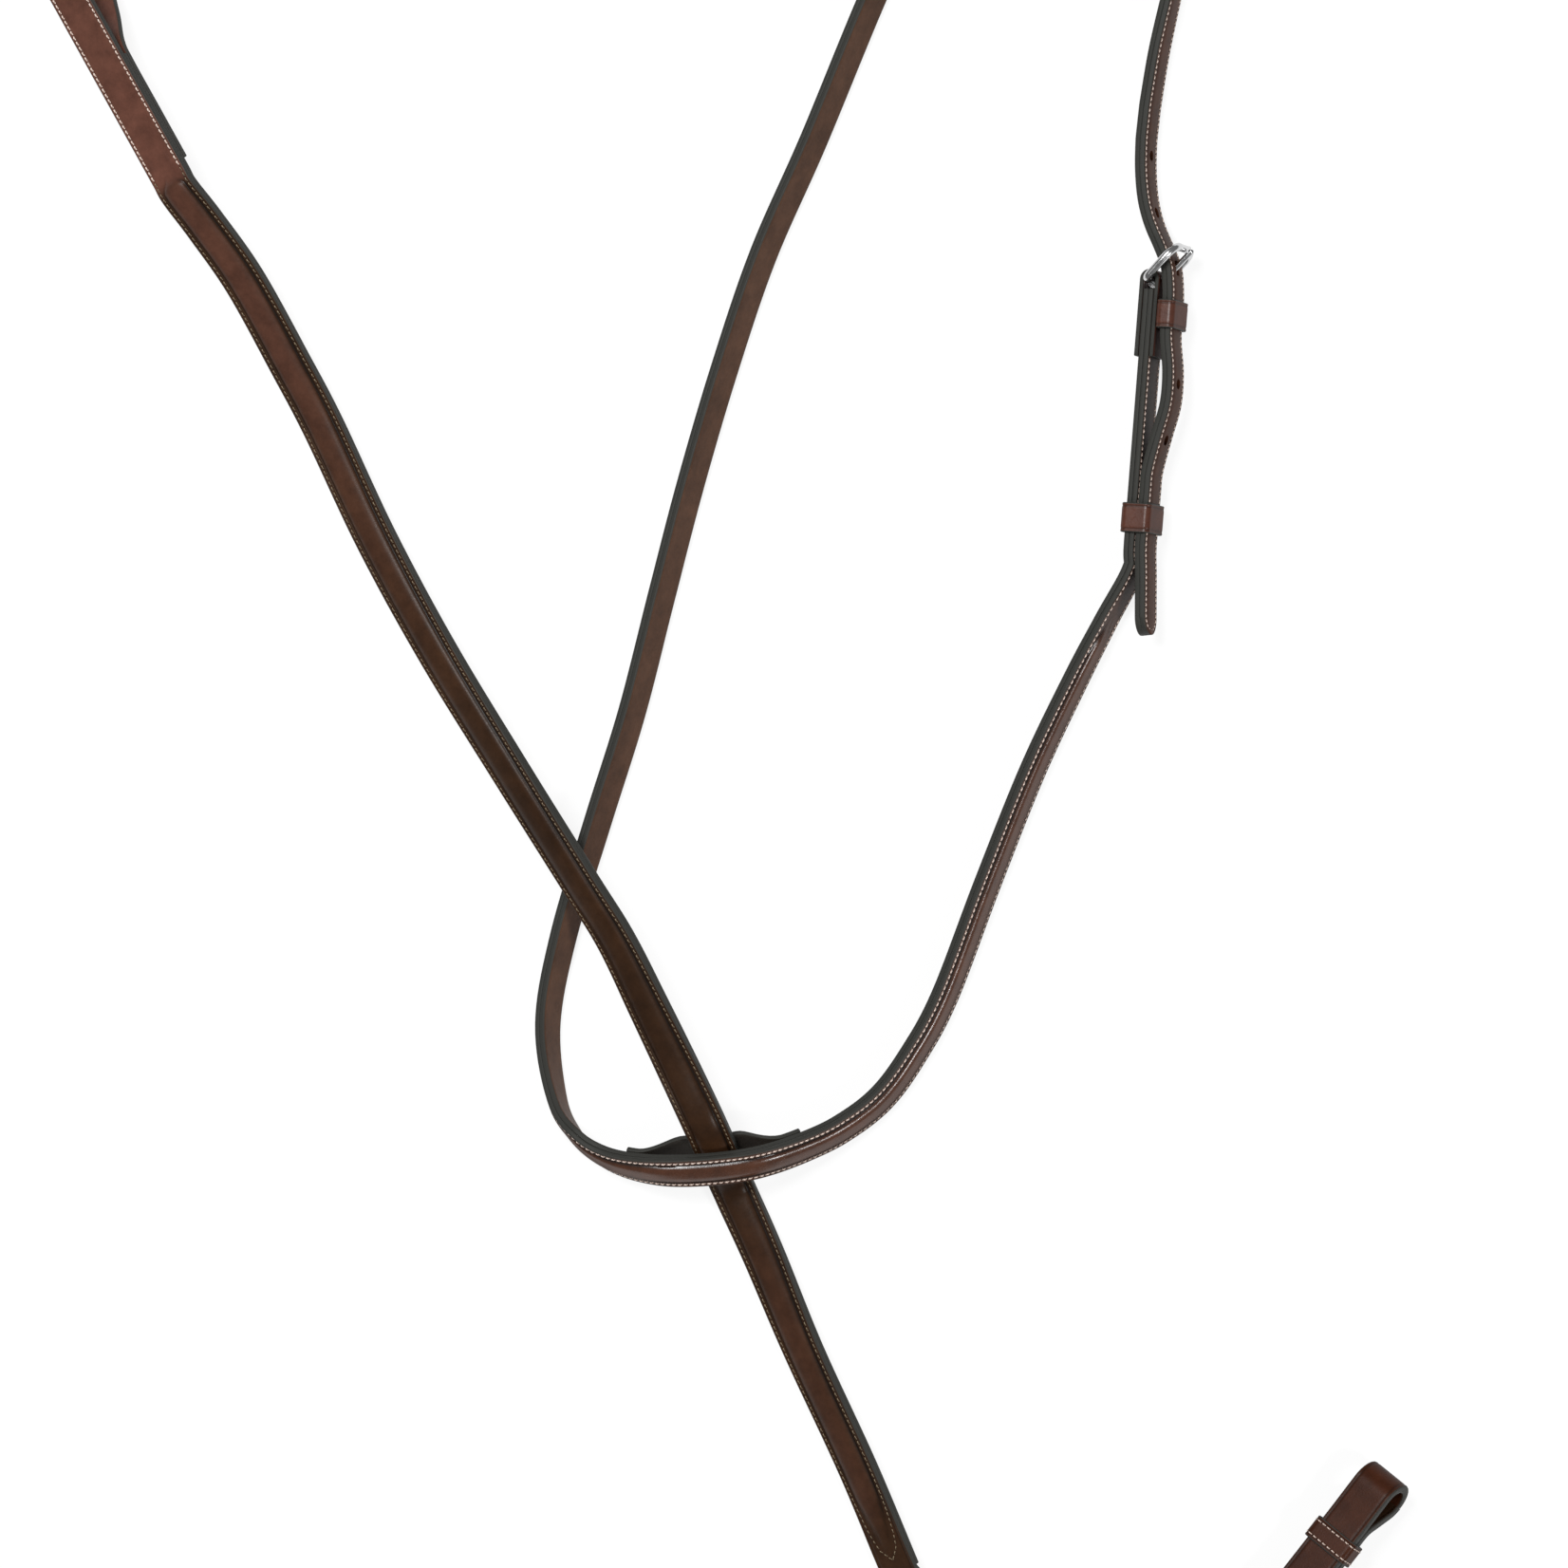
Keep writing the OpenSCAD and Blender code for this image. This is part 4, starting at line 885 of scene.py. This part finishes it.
EYE_BEND = [leg_end + 6, loop_mid - 0.34 * EYE_OPEN]
lower_leg = smooth_route([[8, loop_mid], [18, loop_mid], [leg_end, loop_mid], EYE_BEND], 4)
girth_fold = in_run(np.vstack([lower_leg, eye_points(-130, -90, 5)]), loop_at, loop_along, loop_u, loop_n)
girth_fold[0] = girth_fold[0] - loop_mid * girth_fold[2]
strap_path = [np.vstack([a, b[FACE_FROM * FINE:], c]) for a, b, c in zip(nose_path, body_frames, girth_fold)]
nose_rows = len(nose_path[0])
at = np.r_[np.full(nose_rows, FACE_FROM - 0.01), np.arange(FACE_FROM * FINE, len(body_frames[0])) / FINE,
           np.full(len(girth_fold[0]), PAST_END)]
body_raise = ease(at, FACE_FROM - 0.015, FACE_FROM + 0.9) * (1 - ease(at, CROWN_END, CROWN_END + CROWN_FADE))
body_crown_half = BODY_W / 2 - MARGIN_W
body_top = GLUE / 2 + FACE_T
girth_top = -HALF_T + GIRTH_T
strap_high = body_top + (girth_top - body_top) * ease(at, *THICKENS)
strap_low = np.where(at > GIRTH_FROM - 0.02, -HALF_T, GLUE / 2)
rosy = strap_leather("sliding_strap_leather", srgb(45, 28, 16), srgb(58, 37, 22), srgb(93, 59, 48),
                     shine=0.36, gloss=0.17)
BODY_CROWN_TIP = 0.25
section, marks = ply_section(BODY_W, strap_low, strap_high, CROWN_H * body_raise,
                             body_crown_half * (BODY_CROWN_TIP + (1 - BODY_CROWN_TIP) * body_raise),
                             SEAM_IN, SEAM_DIP, soft=OUTER)
DENT_BACK, DENT_HALF, DENT_R, DENT_DEPTH = 5.5, 5.5, 4.0, 0.45
top_from = BACK_POINTS + len(SIDE_POINTS)
on_top = slice(top_from, top_from + TOP_POINTS)
on_nose = (at < FACE_FROM).astype(float)[:, None]
dent_from = np.linalg.norm(strap_path[0] - (nose_at - DENT_BACK * nose_along), axis=1)[:, None]
dent = on_nose * (np.arange(len(at))[:, None] > nose_rows // 2) * np.exp(-(dent_from / DENT_R) ** 2)
dent_across = np.clip(1 - np.abs(section[:, on_top, 0] / DENT_HALF) ** 4, 0, 1)
section[:, on_top, 1] -= DENT_DEPTH * dent * dent_across
# Hands have rubbed it red by the noseband, and a little below the tunnel. The painted shade in the grooves is
# fainter along the left groove, on the lit side, and fainter on the girth strap.
NOSE_RUB_LEN = 1.2
TOP_RUB, TOP_RUB_FADES = 0.6, (5, 10)
END_RUB, END_RUB_GROWS = 0.25, (18, 20)
FAINT_SHADE = 0.4
near_nose = 1 - ease(at, FACE_FROM, FACE_FROM + NOSE_RUB_LEN)
rubbed = TOP_RUB * (1 - ease(at, *TOP_RUB_FADES)) + END_RUB * ease(at, *END_RUB_GROWS)
marks["wear"] = np.maximum(marks["wear"] * rubbed[:, None], near_nose[:, None])
faint_shade_at = (at[:, None] > GIRTH_FROM) | (section[..., 0] < 0)
marks["groove_shade"] = np.where(faint_shade_at, FAINT_SHADE, 1.0) * marks["groove_shade"]
sliding_face = carried("sliding_strap_face", strap_path, (section, marks), rosy, lips=(0.35, 0.05))
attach(sliding_face, "sliding_strap")
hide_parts("body_face", "body_core", "noseband_loop", "girth_strap", "girth_loop")


# Sliding strap, stitching: two rows along the raised part, closed in a pointed round below the tunnel where
# it ends. The noseband loop has two rows of its own along its front, which hold its back ply.
body_seam = BODY_W / 2 - SEAM_IN
crown_rows = int(CROWN_END * FINE)
raised_path = [x[FACE_FROM * FINE:crown_rows] for x in body_frames]
end_path = [x[crown_rows - 1:int((CROWN_END + SEAM_FADE) * FINE) + 1] for x in body_frames]
seam_path = [np.vstack([a, b]) for a, b in zip(raised_path, end_path)]
closing = np.linspace(0, 1, len(end_path[0]))
seam_u = body_seam * np.r_[np.ones(len(raised_path[0])), np.sqrt(np.maximum(0, 1 - closing ** 2.6))]
olive_thread = thread("olive_thread", srgb(84, 72, 54), srgb(140, 122, 96))
body_stitches = sewn("sliding_strap_stitches", [row_on(seam_path, s * seam_u, face_top) for s in (-1, 1)],
                     olive_thread)
NOSE_FRONT_FROM, NOSE_BACK_TO = 11, 3
nose_front_path = [x[NOSE_FRONT_FROM * FINE:nose_rows] for x in strap_path]
nose_back_path = [x[2:NOSE_BACK_TO * FINE] for x in strap_path]
nose_stitch_rows = [row_on(path, s * body_seam, face_top)
                    for s in (-1, 1) for path in (nose_front_path, nose_back_path)]
nose_stitches = sewn("noseband_stitches", nose_stitch_rows, pale_thread, **BOLD_STITCH)
for piece in (body_stitches, nose_stitches):
    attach(piece, "sliding_strap")


# Sliding strap, lining: a flat ply behind the raised part, from the noseband loop's sewn end to the girth
# strap.
body_lining_path = [x[:GIRTH_FROM * FINE] for x in body_frames]
body_lining = carried("sliding_strap_lining", body_lining_path,
                      ply_section(BODY_W, -HALF_T, -GLUE / 2, soft=INNER), lining)
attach(body_lining, "sliding_strap")
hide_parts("body_lining")


# Girth billet: the girth strap's own end. It comes round the eye of the fold, back on top of the strap, over
# the buckle's bar and under its keeper, with punched holes and a rounded tip.
girth_leather = strap_leather("girth_leather", srgb(54, 27, 14), srgb(69, 36, 22), srgb(73, 40, 26),
                              shine=0.36, gloss=0.1)
GIRTH_BAR_X = 188.0
GIRTH_FOLD_R = ROD_R + SLIP
GIRTH_FOLD_OUT = GIRTH_FOLD_R + CHAPE_T
girth_bar = np.array([GIRTH_BAR_X, GIRTH_Y, GIRTH_T + GLUE + GIRTH_FOLD_OUT]) + LAYOUT_SHIFT
girth_axes = (np.array([-1.0, 0, 0]), np.array([0, -1.0, 0]), np.array([0, 0, 1.0]))
return_rest = -GIRTH_FOLD_OUT - GLUE + SLIP + GIRTH_T / 2
leg_top = -GIRTH_FOLD_OUT + 2 * CHAPE_T + GLUE
girth_seat = leg_top + GLUE + KEEPER_WALL + SLIP + GIRTH_T / 2
girth_over = GIRTH_FOLD_OUT + SLIP + GIRTH_T / 2
return_line = smooth_route([
    [26, return_rest + 1.2], [18, return_rest + 3.4], [10, girth_over - 1.6],
    [4, girth_over - 0.2], [-1, girth_over], [-6, girth_over - 0.8], [-11, girth_seat + 0.5],
    [-15, girth_seat], [-24, girth_seat], [-33, girth_seat], [-44, girth_seat - 1], [-58, return_rest + 1],
    [-70, return_rest + 0.6], [-76, return_rest + 0.8],
], 6)
RETURN_FROM, GIRTH_TIP = 30, 9.0
upper_leg = np.column_stack([np.linspace(leg_end, 1.0, 12), np.full(12, return_mid)])
eye_and_leg = np.vstack([eye_points(-90, 90, 7.5), upper_leg])
coming_back = in_run(eye_and_leg, loop_at, loop_along, loop_u, loop_n)
coming_back = [coming_back[0], -coming_back[1], -coming_back[2]]
lying = [x[:RETURN_FROM * FINE - 1:-1] for x in body_frames]
lying = [lying[0] + return_mid * lying[2], -lying[1], lying[2]]
return_path = in_run(return_line * [-1, 1], girth_bar, *girth_axes)
girth_whole = [np.vstack(x) for x in zip(coming_back, lying, return_path)]
girth_path, girth_share, *_ = tip_path(girth_whole, GIRTH_TIP)
girth_billet = carried("girth_billet_strap", girth_path, ply_section(
    BODY_W, -GIRTH_T / 2, GIRTH_T / 2, seam_in=SEAM_IN, dip=THIN_DIP, share=girth_share),
    girth_leather, lips=(0.05, 0.3))
punched(girth_billet, [hole_cut(girth_bar + (i * HOLE_PITCH - TONGUE_REACH) * girth_axes[0], *girth_axes)
                       for i in (-1, 2)] + [tongue_cut(girth_bar, *girth_axes, GIRTH_TILT)])
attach(girth_billet, "sliding_strap")
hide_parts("girth_billet")


# Girth chape, keeper and runner: the buckle's folded strap sewn on top of the girth strap, its fixed keeper,
# and the runner that closes the girth loop, sewn in pale thread along both edges.
girth_mid = GIRTH_FOLD_R + CHAPE_T / 2
leg_mid = leg_top - CHAPE_T / 2
girth_fold_shape = fold_line(girth_mid, [
    [CHAPE_LEN, -girth_mid], [LEG_START, girth_mid], [ROD_R + 0.6, girth_mid - 0.1], [7.0, girth_mid - 2.3],
    [13, leg_mid + 0.1], [22, leg_mid], [CHAPE_LEN, leg_mid]])
girth_chape, _ = chape("girth_chape_fold", girth_fold_shape, girth_bar, girth_axes, BODY_W, GIRTH_FOLD_OUT)
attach(girth_chape, "sliding_strap")
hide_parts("girth_chape")
GIRTH_KEEPER_AT = 24.0
girth_keeper, _ = band(
    "girth_keeper_band", girth_bar + GIRTH_KEEPER_AT * girth_axes[0] + girth_seat * girth_axes[2],
    girth_axes, BODY_W, GIRTH_T, KEEPER_LEN, girth_leather)
girth_runner, girth_runner_path = band(
    "girth_runner_band", loop_at + GIRTH_RUNNER_AT * loop_along + (loop_mid + return_mid) / 2 * loop_n,
    (loop_along, loop_u, loop_n), BODY_W, return_mid - loop_mid + GIRTH_T, GIRTH_RUNNER_LEN, girth_leather)
for piece, body, solid in ((girth_keeper, "sliding_strap", "girth_keeper"),
                           (girth_runner, "girth_runner", "girth_runner")):
    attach(piece, body)
    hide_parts(solid)
closed_path = [np.vstack([x, x[:1]]) for x in girth_runner_path]
RUNNER_SEAM_IN = 1.9
runner_seam = GIRTH_RUNNER_LEN / 2 - RUNNER_SEAM_IN
runner_rows = [row_on(closed_path, s * runner_seam, KEEPER_WALL / 2 - THIN_DIP) for s in (-1, 1)]
runner_stitches = sewn("girth_runner_stitches", runner_rows, pale_thread, pitch=2.6, length=2.1, thick=0.6,
                       slant=0.0)
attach(runner_stitches, "girth_runner")
